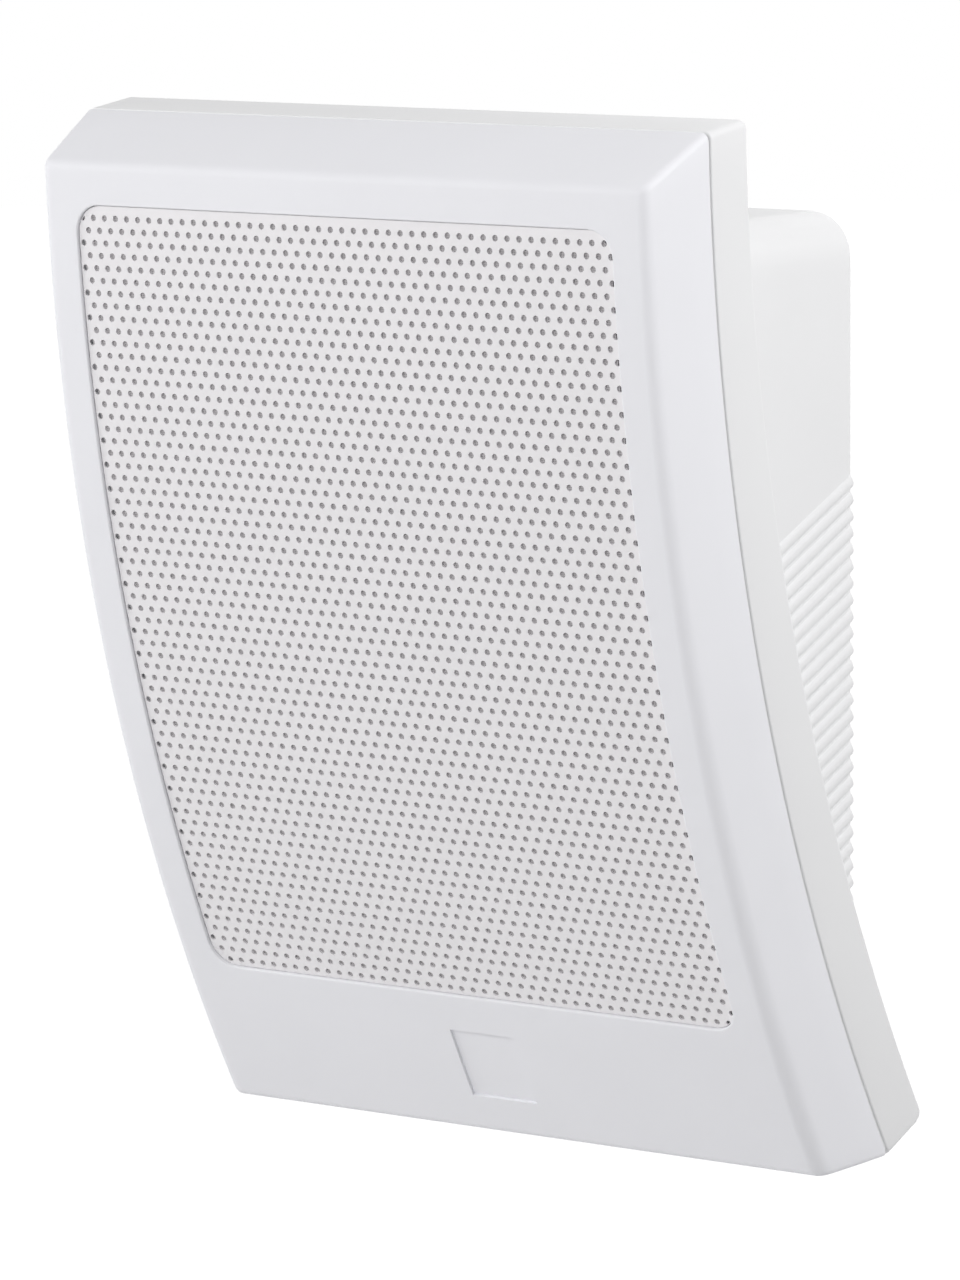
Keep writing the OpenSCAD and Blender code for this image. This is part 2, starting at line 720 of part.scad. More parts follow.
// Corrugated disc from the former to the basket's ledge
module spider() {
    n = 18;
    t = 0.5;
    r0 = neck_r;
    r1 = 40;
    z = ledge_z - t / 2;
    function wave(i) = i < 2 || i > n - 4 ? 0 : 1.2 * sin(360 * (i - 2) / 4);
    color("#B99A52") revolved(concat(
        [for (i = [0:n]) [r0 + (r1 - r0) * i / n, z - t / 2 - wave(i)]],
        [for (i = [n:-1:0]) [r0 + (r1 - r0) * i / n, z + t / 2 - wave(i)]]));
}

module top_plate() {
    color("#9A9DA2") in_driver() translate([0, 0, plate_z]) difference() {
        cylinder(r = motor_r, h = plate_t, $fn = 96);
        translate([0, 0, -1]) cylinder(r = gap_r, h = plate_t + 2, $fn = 96);
    }
}

module magnet() {
    color("#33343A") in_driver() translate([0, 0, magnet_z]) difference() {
        cylinder(d = magnet_d, h = magnet_t, $fn = 96);
        translate([0, 0, -1]) cylinder(r = gap_r + 5, h = magnet_t + 2, $fn = 96);
    }
}

module yoke() {
    color("#9A9DA2") in_driver() union() {
        translate([0, 0, yoke_z]) cylinder(r = motor_r, h = plate_t, $fn = 96);
        translate([0, 0, plate_z]) cylinder(r = pole_r, h = yoke_z - plate_z + plate_t / 2, $fn = 96);
    }
}

// Fibre strip with two solder tags, on the basket's ledge
module tag_strip() {
    color("#8C5A34") in_driver() rotate(90) translate([38.5, 0, ledge_z + basket_t]) {
        translate([-3, -10, 0]) cube([6, 20, 1.5]);
        for (s = [-1, 1]) translate([1.5, s * 6 - 2, 1.5 - eps]) cube([0.8, 4, 8]);
    }
}

// The transformer's frame: origin on the strap's feet, +z off the wall
module in_transformer() {
    translate([0, -back_wall - strap_post, transformer_z]) rotate([90, 0, 0]) children();
}

limb = core_w / 6;
flange_t = 1;
flange_out = 5;
module transformer_core() {
    color("#6B6E73") in_transformer() translate([0, 0, core_h / 2 + strap_t]) difference() {
        cube([core_w, core_t, core_h], center = true);
        for (s = [-1, 1]) translate([s * limb * 1.5, 0, 0])
            cube([limb, core_t + 2, core_h - 2 * limb], center = true);
    }
}

// Bobbin: a square tube on the middle limb with a flange at each end
module transformer_bobbin() {
    h = core_h - 2 * limb - 0.2;
    color("#D8D2BE") in_transformer() translate([0, 0, core_h / 2 + strap_t]) difference() {
        union() {
            cube([2 * (limb + flange_t), core_t + 2 * flange_t, h], center = true);
            for (s = [-1, 1]) translate([0, 0, s * (h - flange_t) / 2])
                cube([4 * limb - 0.4, core_t + 2 * (flange_t + flange_out), flange_t], center = true);
        }
        cube([2 * limb + 0.2, core_t + 0.2, h + 2], center = true);
        for (s = [-1, 1]) translate([s * limb * 2.5, 0, 0]) cube([limb + 0.4, core_t + 0.4, h + 2], center = true);
    }
}

module transformer_winding() {
    h = core_h - 2 * limb - 0.2;
    color("#D9A520") in_transformer() translate([0, 0, core_h / 2 + strap_t]) difference() {
        cube([4 * limb - 1.2, core_t + 2 * flange_out, h - 2 * flange_t - 0.1], center = true);
        cube([2 * (limb + flange_t), core_t + 2 * flange_t, h + 2], center = true);
        for (s = [-1, 1]) translate([s * limb * 2.5, 0, 0]) cube([limb + 0.4, core_t + 0.4, h + 2], center = true);
    }
}

module transformer_strap() {
    color("#B9BBBF") in_transformer() difference() {
        union() {
            translate([-core_w / 2 - strap_t, -core_t / 2, 0]) cube([strap_t, core_t, core_h + 2 * strap_t]);
            translate([core_w / 2, -core_t / 2, 0]) cube([strap_t, core_t, core_h + 2 * strap_t]);
            translate([-core_w / 2 - strap_t, -core_t / 2, core_h + strap_t])
                cube([core_w + 2 * strap_t, core_t, strap_t]);
            for (s = [-1, 1]) translate([s * (strap_pitch / 2 - 1) - (strap_pitch - core_w) / 4 - 3, -core_t / 2, 0])
                cube([(strap_pitch - core_w) / 2 + 6, core_t, strap_t]);
        }
        for (s = [-1, 1]) translate([s * strap_pitch / 2, 0, -1]) cylinder(d = screw_d + 0.3, h = strap_t + 2);
    }
}

module transformer_screws() {
    color("#8A8C90") in_transformer() for (s = [-1, 1]) translate([s * strap_pitch / 2, 0, 0]) {
        translate([0, 0, strap_t]) cylinder(d = head_d - 0.5, h = head_h);
        translate([0, 0, -strap_post - back_wall / 2])
            cylinder(d = screw_d - pilot, h = strap_post + back_wall / 2 + strap_t + eps);
    }
}

// The block's frame: origin on its posts, +z off the wall, y down
module in_block() {
    translate([0, -back_wall - block_post, -block_down]) rotate([90, 0, 0]) children();
}

ways = 3;
way_pitch = 6.5;
foot_t = block_t * 0.23;
clamp_d = 4;
function way_x(i) = (i - (ways - 1) / 2) * way_pitch;
module terminal_block() {
    color("#DADBD6") in_block() difference() {
        translate([-block_w / 2, -block_h / 2, 0]) cube([block_w, block_h, foot_t]);
        for (p = block_places) translate([p[0], 0, -1]) cylinder(d = screw_d + 0.3, h = 9);
    }
    color("#DADBD6") in_block() difference() {
        translate([-ways * way_pitch / 2, -block_h / 2, foot_t - eps])
            cube([ways * way_pitch, block_h, block_t - foot_t]);
        for (i = [0:ways - 1]) {
            translate([way_x(i), -block_h / 2 - 1, block_t / 2]) rotate([-90, 0, 0]) cylinder(d = clamp_d, h = block_h + 2);
            translate([way_x(i), 0, block_t / 2]) cylinder(d = clamp_d + 0.2, h = block_t);
        }
    }
}

// One brass clamp tube and its screw in each way
module terminal_clamps() {
    color("#C8A24A") in_block() for (i = [0:ways - 1]) {
        translate([way_x(i), 0, 0]) {
            difference() {
                translate([0, -block_h * 0.3, block_t / 2]) rotate([-90, 0, 0]) cylinder(d = clamp_d, h = block_h * 0.6);
                translate([0, -block_h / 2, block_t / 2]) rotate([-90, 0, 0]) cylinder(d = clamp_d * 0.65, h = block_h);
            }
            translate([0, 0, block_t / 2 + clamp_d * 0.38]) cylinder(d = clamp_d * 0.75, h = block_t * 0.27);
        }
    }
}

module terminal_screws() {
    color("#8A8C90") in_block() for (p = block_places) translate([p[0], 0, 0]) {
        translate([0, 0, foot_t]) cylinder(d = head_d - 0.5, h = head_h);
        translate([0, 0, -block_post - back_wall / 2])
            cylinder(d = screw_d - pilot, h = block_post + back_wall / 2 + foot_t + eps);
    }
}

// Rubber grommet: a neck in the back wall between two flanges, flush with the wall plane
module cable_grommet() {
    neck = 0.2;
    color("#26262A") translate([0, 0, -entry_down]) rotate([90, 0, 0]) difference() {
        union() {
            cylinder(d = entry_d - neck, h = back_wall + 1);
            translate([0, 0, back_wall]) cylinder(d = grommet_d, h = 2);
        }
        translate([0, 0, -1]) cylinder(d = entry_bore, h = back_wall + 9);
    }
}

// Wadding in the slab's foot, between the frame and the shell
module damping_pad() {
    v0 = post_foot - post_d;
    color("#F2F1EC") intersection() {
        front_block(joint_r - rear_depth / 2, face_radius - wall, wall * 2);
        at_angle(a_mid) translate([-post_x + post_d, -mount_q + wall / 5, -v0])
            cube([2 * (post_x - post_d), rear_depth, v0 - rim_d / 2 - wall]);
    }
}

front_frame();
grille();
grille_cloth();
rear_shell();
shell_screws();
driver_gasket();
driver_basket();
driver_screws();
surround();
cone();
whizzer_cone();
dust_cap();
coil_former();
coil_winding();
spider();
top_plate();
magnet();
yoke();
tag_strip();
transformer_core();
transformer_bobbin();
transformer_winding();
transformer_strap();
transformer_screws();
terminal_block();
terminal_clamps();
terminal_screws();
cable_grommet();
damping_pad();
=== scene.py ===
"""Looks of a bowed wall speaker with a perforated grille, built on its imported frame."""

import logging
import math
from dataclasses import dataclass
from enum import Enum

import bmesh
import bpy
import numpy as np
from mathutils import Euler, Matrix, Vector


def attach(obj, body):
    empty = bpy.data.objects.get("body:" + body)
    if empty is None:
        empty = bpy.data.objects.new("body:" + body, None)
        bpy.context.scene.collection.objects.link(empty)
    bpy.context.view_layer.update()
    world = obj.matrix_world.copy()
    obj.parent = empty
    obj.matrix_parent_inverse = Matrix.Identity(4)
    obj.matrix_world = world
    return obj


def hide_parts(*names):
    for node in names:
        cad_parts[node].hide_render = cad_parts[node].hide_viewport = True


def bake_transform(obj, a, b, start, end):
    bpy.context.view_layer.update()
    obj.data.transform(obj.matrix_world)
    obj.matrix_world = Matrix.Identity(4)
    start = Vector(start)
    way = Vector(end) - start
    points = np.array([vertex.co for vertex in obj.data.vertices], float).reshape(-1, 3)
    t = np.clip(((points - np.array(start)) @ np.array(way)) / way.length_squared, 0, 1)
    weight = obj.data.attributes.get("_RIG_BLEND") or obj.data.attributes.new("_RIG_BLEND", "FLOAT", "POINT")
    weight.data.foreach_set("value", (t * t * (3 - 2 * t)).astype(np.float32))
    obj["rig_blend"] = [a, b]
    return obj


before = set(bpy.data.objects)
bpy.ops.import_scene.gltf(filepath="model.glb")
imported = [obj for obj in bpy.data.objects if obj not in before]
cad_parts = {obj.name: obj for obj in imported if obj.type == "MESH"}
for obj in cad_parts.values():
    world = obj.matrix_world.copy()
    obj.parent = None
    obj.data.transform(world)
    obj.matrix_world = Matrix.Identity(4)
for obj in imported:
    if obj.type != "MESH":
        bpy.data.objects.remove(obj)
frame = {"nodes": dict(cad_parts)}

LOG = logging.getLogger("wall_speaker")
MM = 0.001
# Edges sharper than this many degrees stay sharp.
CREASE = 32.0
# Points of a new mesh closer than MERGE become one, and edges shorter than SLIVER go, in metres.
MERGE, SLIVER = 2e-6, 1e-7
# Fractal noise mostly lies in this span, and a layer's groove takes this part of its band.
NOISE_SPAN, GROOVE_SPAN, UNIT = (0.3, 0.7), (0.0, 0.35), (0.0, 1.0)
# Bands a metre that a Wave texture shows for each unit of its scale.
WAVE_REPEAT = 3.18
# Cells of the dull spots for each cell of a finish's grain.
SPOT_SHARE = 0.31
CABINET_BODY = "cabinet"
CONE_BODY = "moving_cone"
Triple = tuple[float, float, float]
Colour = Triple


def linear(red: int, green: int, blue: int) -> Colour:
    """Turns a display colour of 0 to 255 into linear light.

    Args:
        red, green, blue: the colour's three parts as they show on a screen.

    Returns:
        The same colour as linear light from 0 to 1.
    """
    parts = np.array([red, green, blue]) / 255.0
    low = parts / 12.92
    high = ((parts + 0.055) / 1.055) ** 2.4
    return tuple(float(v) for v in np.where(parts <= 0.04045, low, high))


class Facing(Enum):
    """Which way the faces of an added surface point."""

    AS_GIVEN = "as given"
    OUTWARDS = "outwards"


class Skin:
    """Points and faces of several surfaces, gathered for one mesh. Points are in millimetres."""

    def __init__(self) -> None:
        """Starts with nothing in it."""
        self.points: list[np.ndarray] = []
        self.faces: list[tuple[int, ...]] = []
        self.size = 0

    def add(self, points: np.ndarray, faces: list[tuple[int, ...]],
            facing: Facing = Facing.AS_GIVEN) -> None:
        """Adds one surface.

        Args:
            points: an array of n rows of x, y and z.
            faces: corner numbers of each face, counted in points.
            facing: OUTWARDS turns a closed surface whose volume comes out negative.
        """
        if facing is Facing.OUTWARDS and enclosed_volume(points, faces) < 0:
            faces = flipped(faces)
        self.faces.extend(tuple(int(i) + self.size for i in f) for f in faces)
        self.points.append(points)
        self.size += len(points)

    def loft(self, rings: np.ndarray, closed_rows: bool = False, caps: bool = False) -> None:
        """Adds a closed surface through rings of equally many points.

        Args:
            rings: m rings of n points. Quad (i, j) joins point j and j + 1 of ring i to those of
                ring i + 1, and j + 1 wraps round.
            closed_rows: the last ring joins the first, which makes a torus.
            caps: each end ring is filled with one face.
        """
        m, n = rings.shape[:2]
        faces = lattice(m, n, closed_rows, True)
        if caps:
            faces.append(tuple(range(n - 1, -1, -1)))
            faces.append(tuple((m - 1) * n + j for j in range(n)))
        self.add(rings.reshape(-1, 3), faces, Facing.OUTWARDS)

    def object(self, name: str, crease: float = CREASE, merge: float = MERGE) -> bpy.types.Object:
        """Makes the mesh object.

        Args:
            name: name of the new piece.
            crease: edges sharper than this many degrees stay sharp, and all others shade smooth.
            merge: points closer than this, in metres, become one.

        Returns:
            The new object, with its place in its mesh.
        """
        mesh = bpy.data.meshes.new(name)
        mesh.from_pydata((np.concatenate(self.points) * MM).tolist(), [], self.faces)
        work = bmesh.new()
        work.from_mesh(mesh)
        bmesh.ops.remove_doubles(work, verts=work.verts, dist=merge)
        bmesh.ops.dissolve_degenerate(work, edges=work.edges, dist=SLIVER)
        work.to_mesh(mesh)
        work.free()
        mesh.validate()
        shade(mesh, crease)
        made = bpy.data.objects.new(name, mesh)
        bpy.context.scene.collection.objects.link(made)
        return made


def flipped(faces: list[tuple[int, ...]]) -> list[tuple[int, ...]]:
    """The same faces seen from their other side."""
    return [tuple(reversed(f)) for f in faces]


def enclosed_volume(points: np.ndarray, faces: list[tuple[int, ...]]) -> float:
    """Signed volume inside a closed surface: the sum over its triangles of a . (b x c) / 6.

    Args:
        points: an array of n rows of x, y and z.
        faces: corner numbers of each face.

    Returns:
        The volume, negative where the faces point inwards.
    """
    fan = np.array([(f[0], f[k], f[k + 1]) for f in faces for k in range(1, len(f) - 1)])
    centred = points - points.mean(axis=0)
    a, b, c = (centred[fan[:, k]] for k in range(3))
    return float((a * np.cross(b, c)).sum() / 6.0)


def lattice(m: int, n: int, closed_rows: bool, closed_columns: bool) -> list[tuple[int, ...]]:
    """Quads of an m by n lattice of points, counted row by row.

    Args:
        m, n: number of rows and of points in a row.
        closed_rows: the last row joins the first.
        closed_columns: each row's last point joins its first.

    Returns:
        The corner numbers of every quad.
    """
    i = np.arange(m if closed_rows else m - 1)[:, None]
    j = np.arange(n if closed_columns else n - 1)[None, :]
    nexts, beside = (i + 1) % m, (j + 1) % n
    quads = np.stack([i * n + j, i * n + beside, nexts * n + beside, nexts * n + j], axis=-1)
    return [tuple(q) for q in quads.reshape(-1, 4).tolist()]


def shade(mesh: bpy.types.Mesh, crease: float) -> None:
    """Shades a mesh smooth, apart from edges sharper than crease degrees.

    Args:
        mesh: the mesh.
        crease: the angle in degrees.
    """
    mesh.polygons.foreach_set("use_smooth", np.ones(len(mesh.polygons), dtype=bool))
    mesh.set_sharp_from_angle(angle=math.radians(crease))
    mesh.update()


def cut(piece: bpy.types.Object, cutters: list[bpy.types.Object]) -> None:
    """Takes the cutters' solids out of a piece for good, and removes the cutters.

    Args:
        piece: the closed mesh that is cut.
        cutters: closed meshes.
    """
    for cutter in cutters:
        step = piece.modifiers.new("cut", "BOOLEAN")
        step.operation = "DIFFERENCE"
        step.solver = "EXACT"
        step.object = cutter
    graph = bpy.context.evaluated_depsgraph_get()
    made = bpy.data.meshes.new_from_object(piece.evaluated_get(graph))
    piece.modifiers.clear()
    old, piece.data = piece.data, made
    bpy.data.meshes.remove(old)
    for cutter in cutters:
        bpy.data.objects.remove(cutter)
    shade(piece.data, CREASE)


def lathe_rings(profile: np.ndarray, turns: int) -> np.ndarray:
    """Rings of a surface of revolution: (r cos t, r sin t, z) for each r and z of the profile.

    Args:
        profile: rows of r and z.
        turns: number of steps round the axis.

    Returns:
        One ring of x, y and z for each row of the profile.
    """
    t = np.linspace(0.0, 2.0 * np.pi, turns, endpoint=False)
    r, z = profile[:, 0:1], profile[:, 1:2]
    return np.stack([r * np.cos(t), r * np.sin(t), z + 0.0 * t], axis=-1)


class Axis(Enum):
    """The axis that bands or layers follow one another along."""

    X = "X"
    Y = "Y"
    Z = "Z"


class Recipe:
    """A node material under construction."""

    def __init__(self, name: str) -> None:
        """Makes a material with only a Principled shader and its output.

        Args:
            name: the material's name.
        """
        self.material = bpy.data.materials.new(name)
        self.material.use_nodes = True
        self.tree = self.material.node_tree
        self.tree.nodes.clear()
        self.shader = self.node("ShaderNodeBsdfPrincipled")
        output = self.node("ShaderNodeOutputMaterial")
        self.join(self.shader.outputs["BSDF"], output.inputs["Surface"])
        self.place = self.node("ShaderNodeTexCoord").outputs["Object"]

    def node(self, kind: str, **values: object) -> bpy.types.Node:
        """Adds a node and sets its properties, or its inputs where a value names one.

        Args:
            kind: Blender's name of the node's type.
            values: properties or inputs by name.

        Returns:
            The new node.
        """
        made = self.tree.nodes.new(kind)
        for key, value in values.items():
            label = key.replace("_", " ").title()
            if hasattr(made, key):
                setattr(made, key, value)
            else:
                made.inputs[label].default_value = value
        return made

    def join(self, source: bpy.types.NodeSocket, target: bpy.types.NodeSocket) -> None:
        """Links two sockets."""
        self.tree.links.new(source, target)

    def stretched(self, scale: Triple,
                  turn: Triple = (0, 0, 0)) -> bpy.types.NodeSocket:
        """Object coordinates turned by degrees, then scaled, through one Mapping node.

        Args:
            scale: stretch along x, y and z.
            turn: turn about x, y and z in degrees.

        Returns:
            The socket of the new coordinates.
        """
        mapping = self.node("ShaderNodeMapping", vector_type="POINT")
        mapping.inputs["Scale"].default_value = scale
        mapping.inputs["Rotation"].default_value = [math.radians(v) for v in turn]
        self.join(self.place, mapping.inputs["Vector"])
        return mapping.outputs["Vector"]

    def noise(self, scale: float, detail: float = 3.0, roughness: float = 0.5,
              place: bpy.types.NodeSocket | None = None) -> bpy.types.NodeSocket:
        """Fractal noise of the given number of cells a metre, from 0 to 1.

        Args:
            scale: cells a metre.
            detail, roughness: number and strength of its finer layers.
            place: coordinates, or None for the object's own.

        Returns:
            The socket of its value.
        """
        made = self.node("ShaderNodeTexNoise", scale=scale, detail=detail, roughness=roughness)
        self.join(place or self.place, made.inputs["Vector"])
        return made.outputs["Fac"]

    def bands(self, pitch: float, axis: Axis,
              place: bpy.types.NodeSocket | None = None) -> bpy.types.NodeSocket:
        """Smooth bands across one axis, with their pitch in millimetres.

        Args:
            pitch: spacing of the bands.
            axis: the axis that they follow one another along.
            place: coordinates, or None for the object's own.

        Returns:
            The socket of their value.
        """
        made = self.node("ShaderNodeTexWave", wave_type="BANDS", bands_direction=axis.value,
                         wave_profile="SIN")
        made.inputs["Scale"].default_value = 1.0 / (pitch * MM) / WAVE_REPEAT
        self.join(place or self.place, made.inputs["Vector"])
        return made.outputs["Fac"]

    def math(self, operation: str, first: bpy.types.NodeSocket | float,
             second: bpy.types.NodeSocket | float = 0.0) -> bpy.types.NodeSocket:
        """One Math node over sockets or plain numbers.

        Args:
            operation: Blender's name of the operation.
            first, second: its two values.

        Returns:
            The socket of the result.
        """
        made = self.node("ShaderNodeMath", operation=operation)
        for socket, value in zip(made.inputs, (first, second)):
            if isinstance(value, (int, float)):
                socket.default_value = value
            else:
                self.join(value, socket)
        return made.outputs[0]

    def remap(self, value: bpy.types.NodeSocket, span: tuple[float, float],
              result: tuple[float, float]) -> bpy.types.NodeSocket:
        """Maps a span of a value to the span of the result, and holds it there.

        Args:
            value: the socket that is mapped.
            span, result: lower and upper end of each.

        Returns:
            The socket of the result.
        """
        made = self.node("ShaderNodeMapRange")
        for label, number in zip(("From Min", "From Max", "To Min", "To Max"), (*span, *result)):
            made.inputs[label].default_value = number
        self.join(value, made.inputs["Value"])
        return made.outputs["Result"]

    def blend(self, factor: bpy.types.NodeSocket, first: Colour,
              second: Colour) -> bpy.types.NodeSocket:
        """Mixes two colours by a factor.

        Args:
            factor: the socket that mixes them.
            first, second: the colours at 0 and at 1.

        Returns:
            The socket of the colour.
        """
        ramp = self.node("ShaderNodeValToRGB")
        ramp.color_ramp.elements[0].color = (*first, 1.0)
        ramp.color_ramp.elements[1].color = (*second, 1.0)
        self.join(factor, ramp.inputs["Fac"])
        return ramp.outputs["Color"]

    def relief(self, height: bpy.types.NodeSocket, depth_mm: float) -> None:
        """Adds a bump of the given depth; later reliefs lie on earlier ones.

        Args:
            height: the socket of its height, from 0 to 1.
            depth_mm: the depth in millimetres.
        """
        bump = self.node("ShaderNodeBump")
        bump.inputs["Distance"].default_value = depth_mm * MM
        bump.inputs["Strength"].default_value = 1.0
        self.join(height, bump.inputs["Height"])
        normal = self.shader.inputs["Normal"]
        if normal.is_linked:
            self.join(normal.links[0].from_socket, bump.inputs["Normal"])
        self.join(bump.outputs["Normal"], normal)


@dataclass(frozen=True)
class Finish:
    """A plain finish: a colour that drifts a little, and a fine grain.

    Attributes:
        name: the material's name.
        colour: the usual colour, in linear light.
        drift: how much lighter and darker the colour gets across the piece, as a share.
        rough: roughness of the smoothest and of the dullest spots.
        metal: 1 for bare metal.
        grain: cells a metre of the grain, and its depth in millimetres.
        coat: strength of a clear coat.
        sheen: strength of the sheen of fibres.
        specular: level of the plain reflection.
        drift_cells: cells a metre of the drift.
    """

    name: str
    colour: Colour
    drift: float = 0.03
    rough: tuple[float, float] = (0.42, 0.52)
    metal: float = 0.0
    grain: tuple[float, float] = (1600.0, 0.012)
    coat: float = 0.0
    sheen: float = 0.0
    specular: float = 0.5
    drift_cells: float = 38.0

    def tint(self, share: float) -> Colour:
        """The colour, lighter or darker by a share."""
        return tuple(min(1.0, c * (1.0 + share)) for c in self.colour)

    def material(self) -> bpy.types.Material:
        """Builds the material.

        Returns:
            The new material.
        """
        recipe = Recipe(self.name)
        shader = recipe.shader.inputs
        shader["Metallic"].default_value = self.metal
        shader["Coat Weight"].default_value = self.coat
        shader["Sheen Weight"].default_value = self.sheen
        shader["Specular IOR Level"].default_value = self.specular
        drift = recipe.remap(recipe.noise(self.drift_cells, 2.0), NOISE_SPAN, UNIT)
        recipe.join(recipe.blend(drift, self.tint(-self.drift), self.tint(self.drift)),
                    shader["Base Color"])
        spots = recipe.noise(self.grain[0] * SPOT_SHARE, 3.0)
        recipe.join(recipe.remap(spots, NOISE_SPAN, self.rough), shader["Roughness"])
        if self.grain[1] > 0.0:
            recipe.relief(recipe.noise(self.grain[0], 2.0), self.grain[1])
        self.pattern(recipe)
        return recipe.material

    def pattern(self, recipe: Recipe) -> None:
        """Adds what a finish has beyond its grain. A plain finish has nothing."""


@dataclass(frozen=True)
class Moulded(Finish):
    """Moulded plastic with a fine spark-eroded grain and soft flow marks.

    Attributes:
        waves: cells a metre of the flow marks, and their depth in millimetres.
    """

    waves: tuple[float, float] = (22.0, 0.02)

    def pattern(self, recipe: Recipe) -> None:
        """Adds shallow waves of the kind that moulding leaves in a wide flat wall."""
        recipe.relief(recipe.noise(self.waves[0], 1.0), self.waves[1])


@dataclass(frozen=True)
class Sprayed(Finish):
    """Sprayed and baked paint on steel, with a slight orange peel.

    Attributes:
        peel: cells a metre of the orange peel, and its depth in millimetres.
    """

    peel: tuple[float, float] = (420.0, 0.02)

    def pattern(self, recipe: Recipe) -> None:
        """Adds the orange peel."""
        recipe.relief(recipe.noise(self.peel[0], 1.0), self.peel[1])


@dataclass(frozen=True)
class Woven(Finish):
    """Cloth of crossed threads.

    Attributes:
        thread: spacing of the threads in millimetres.
        gap: colour between the threads, darker than them as painted shade in the hollows.
        depth: height of the threads in millimetres.
        shine: how much lighter a thread's top is, as a share: a painted highlight.
    """

    thread: float = 0.55
    gap: Colour = (0.02, 0.02, 0.022)
    depth: float = 0.12
    shine: float = 0.06

    def pattern(self, recipe: Recipe) -> None:
        """Adds two sets of bands. Each thread shows where its own set is the higher one, painted darker in
        the hollows as shade and lighter on top as a highlight.

        Args:
            recipe: the material under construction.
        """
        warp, weft = (recipe.bands(self.thread, axis) for axis in (Axis.X, Axis.Z))
        top = recipe.math("MAXIMUM", warp, weft)
        recipe.relief(top, self.depth)
        # Colour follows thread height: painted shade between the threads, painted highlight on their tops.
        recipe.join(recipe.blend(top, self.gap, self.tint(self.shine)),
                    recipe.shader.inputs["Base Color"])


@dataclass(frozen=True)
class Drawn(Finish):
    """Metal with fine streaks from rolling or turning.

    Attributes:
        streak: stretch of the streaks along x, y and z.
        depth: depth of the streaks in millimetres.
    """

    streak: Triple = (60.0, 900.0, 900.0)
    depth: float = 0.006

    def pattern(self, recipe: Recipe) -> None:
        """Adds streaks to the roughness and the relief.

        Args:
            recipe: the material under construction.
        """
        lines = recipe.noise(1.0, 3.0, place=recipe.stretched(self.streak))
        recipe.relief(lines, self.depth)
        recipe.join(recipe.remap(lines, NOISE_SPAN, self.rough), recipe.shader.inputs["Roughness"])


@dataclass(frozen=True)
class Layered(Finish):
    """Something laid or wound in even layers, such as laminations, wire or tape.

    Attributes:
        pitch: spacing of the layers in millimetres.
        axis: the axis that the layers follow one another along.
        turn: turn of that axis, in degrees about x, y and z.
        line: colour between two layers.
        depth: depth of the line between two layers, in millimetres.
    """

    pitch: float = 0.5
    axis: Axis = Axis.Z
    turn: Triple = (0.0, 0.0, 0.0)
    line: Colour = (0.05, 0.05, 0.05)
    depth: float = 0.1

    def pattern(self, recipe: Recipe) -> None:
        """Adds bands across the axis, dark and deep between the layers.

        Args:
            recipe: the material under construction.
        """
        place = recipe.stretched((1.0, 1.0, 1.0), self.turn)
        ridge = recipe.remap(recipe.bands(self.pitch, self.axis, place), GROOVE_SPAN, UNIT)
        recipe.relief(ridge, self.depth)
        recipe.join(recipe.blend(ridge, self.line, self.colour), recipe.shader.inputs["Base Color"])


@dataclass(frozen=True)
class Fibrous(Finish):
    """Pressed paper, card or wadding, with fibres at two scales.

    Attributes:
        fibre: cells a metre of the fibres, and their depth in millimetres.
        contrast: how much lighter and darker the fibres get, as a share.
    """

    fibre: tuple[float, float] = (700.0, 0.06)
    contrast: float = 0.25

    def pattern(self, recipe: Recipe) -> None:
        """Adds fibres that lighten the colour and raise the surface.

        Args:
            recipe: the material under construction.
        """
        strands = recipe.noise(self.fibre[0], 5.0, 0.7)
        recipe.relief(strands, self.fibre[1])
        light = recipe.remap(strands, NOISE_SPAN, UNIT)
        recipe.join(recipe.blend(light, self.tint(-self.contrast), self.tint(self.contrast)),
                    recipe.shader.inputs["Base Color"])


FRONT = Moulded("front_plastic", linear(236, 236, 240), drift=0.006, rough=(0.48, 0.56),
                grain=(2600.0, 0.006), specular=0.35)
SHELL = Moulded("shell_plastic", linear(233, 233, 234), drift=0.006, rough=(0.50, 0.58),
                grain=(2200.0, 0.008), specular=0.35)
SHEET = Sprayed("grille_paint", linear(235, 233, 235), drift=0.006, rough=(0.38, 0.46),
                grain=(3000.0, 0.003))
# Woven finishes paint shade into their gap colour between threads and a highlight on thread tops.
CLOTH = Woven("grille_cloth", linear(186, 183, 185), drift=0.04, rough=(0.85, 0.95), sheen=0.2,
              gap=linear(146, 143, 146))
ZINC = Drawn("zinc_steel", linear(186, 188, 192), drift=0.05, rough=(0.25, 0.4), metal=1.0,
             grain=(900.0, 0.004))
PLATED = Drawn("plated_steel", linear(196, 194, 184), drift=0.06, rough=(0.28, 0.42), metal=1.0,
               grain=(700.0, 0.004))
BASKET = Sprayed("basket_paint", linear(62, 64, 68), drift=0.08, rough=(0.38, 0.5),
                 grain=(1500.0, 0.01))
FERRITE = Fibrous("ferrite", linear(58, 58, 62), drift=0.1, rough=(0.6, 0.8),
                  grain=(2600.0, 0.03), fibre=(1500.0, 0.02))
FOAM = Fibrous("gasket_foam", linear(46, 46, 48), drift=0.1, rough=(0.9, 1.0),
               fibre=(2600.0, 0.15))
RUBBER = Finish("soft_rubber", linear(40, 40, 42), drift=0.12, rough=(0.5, 0.66),
                grain=(1400.0, 0.01), sheen=0.15)
CONE_PAPER = Fibrous("cone_paper", linear(62, 62, 66), drift=0.15, rough=(0.8, 0.92),
                     fibre=(900.0, 0.07))
WHIZZER = Fibrous("whizzer_paper", linear(214, 196, 156), drift=0.1, rough=(0.75, 0.88),
                  fibre=(1100.0, 0.04))
CAP = Woven("cap_cloth", linear(88, 88, 94), drift=0.1, rough=(0.7, 0.85), thread=0.45)
FORMER = Layered("former_paper", linear(196, 150, 92), rough=(0.4, 0.6), pitch=2.0,
                 line=linear(150, 108, 60))
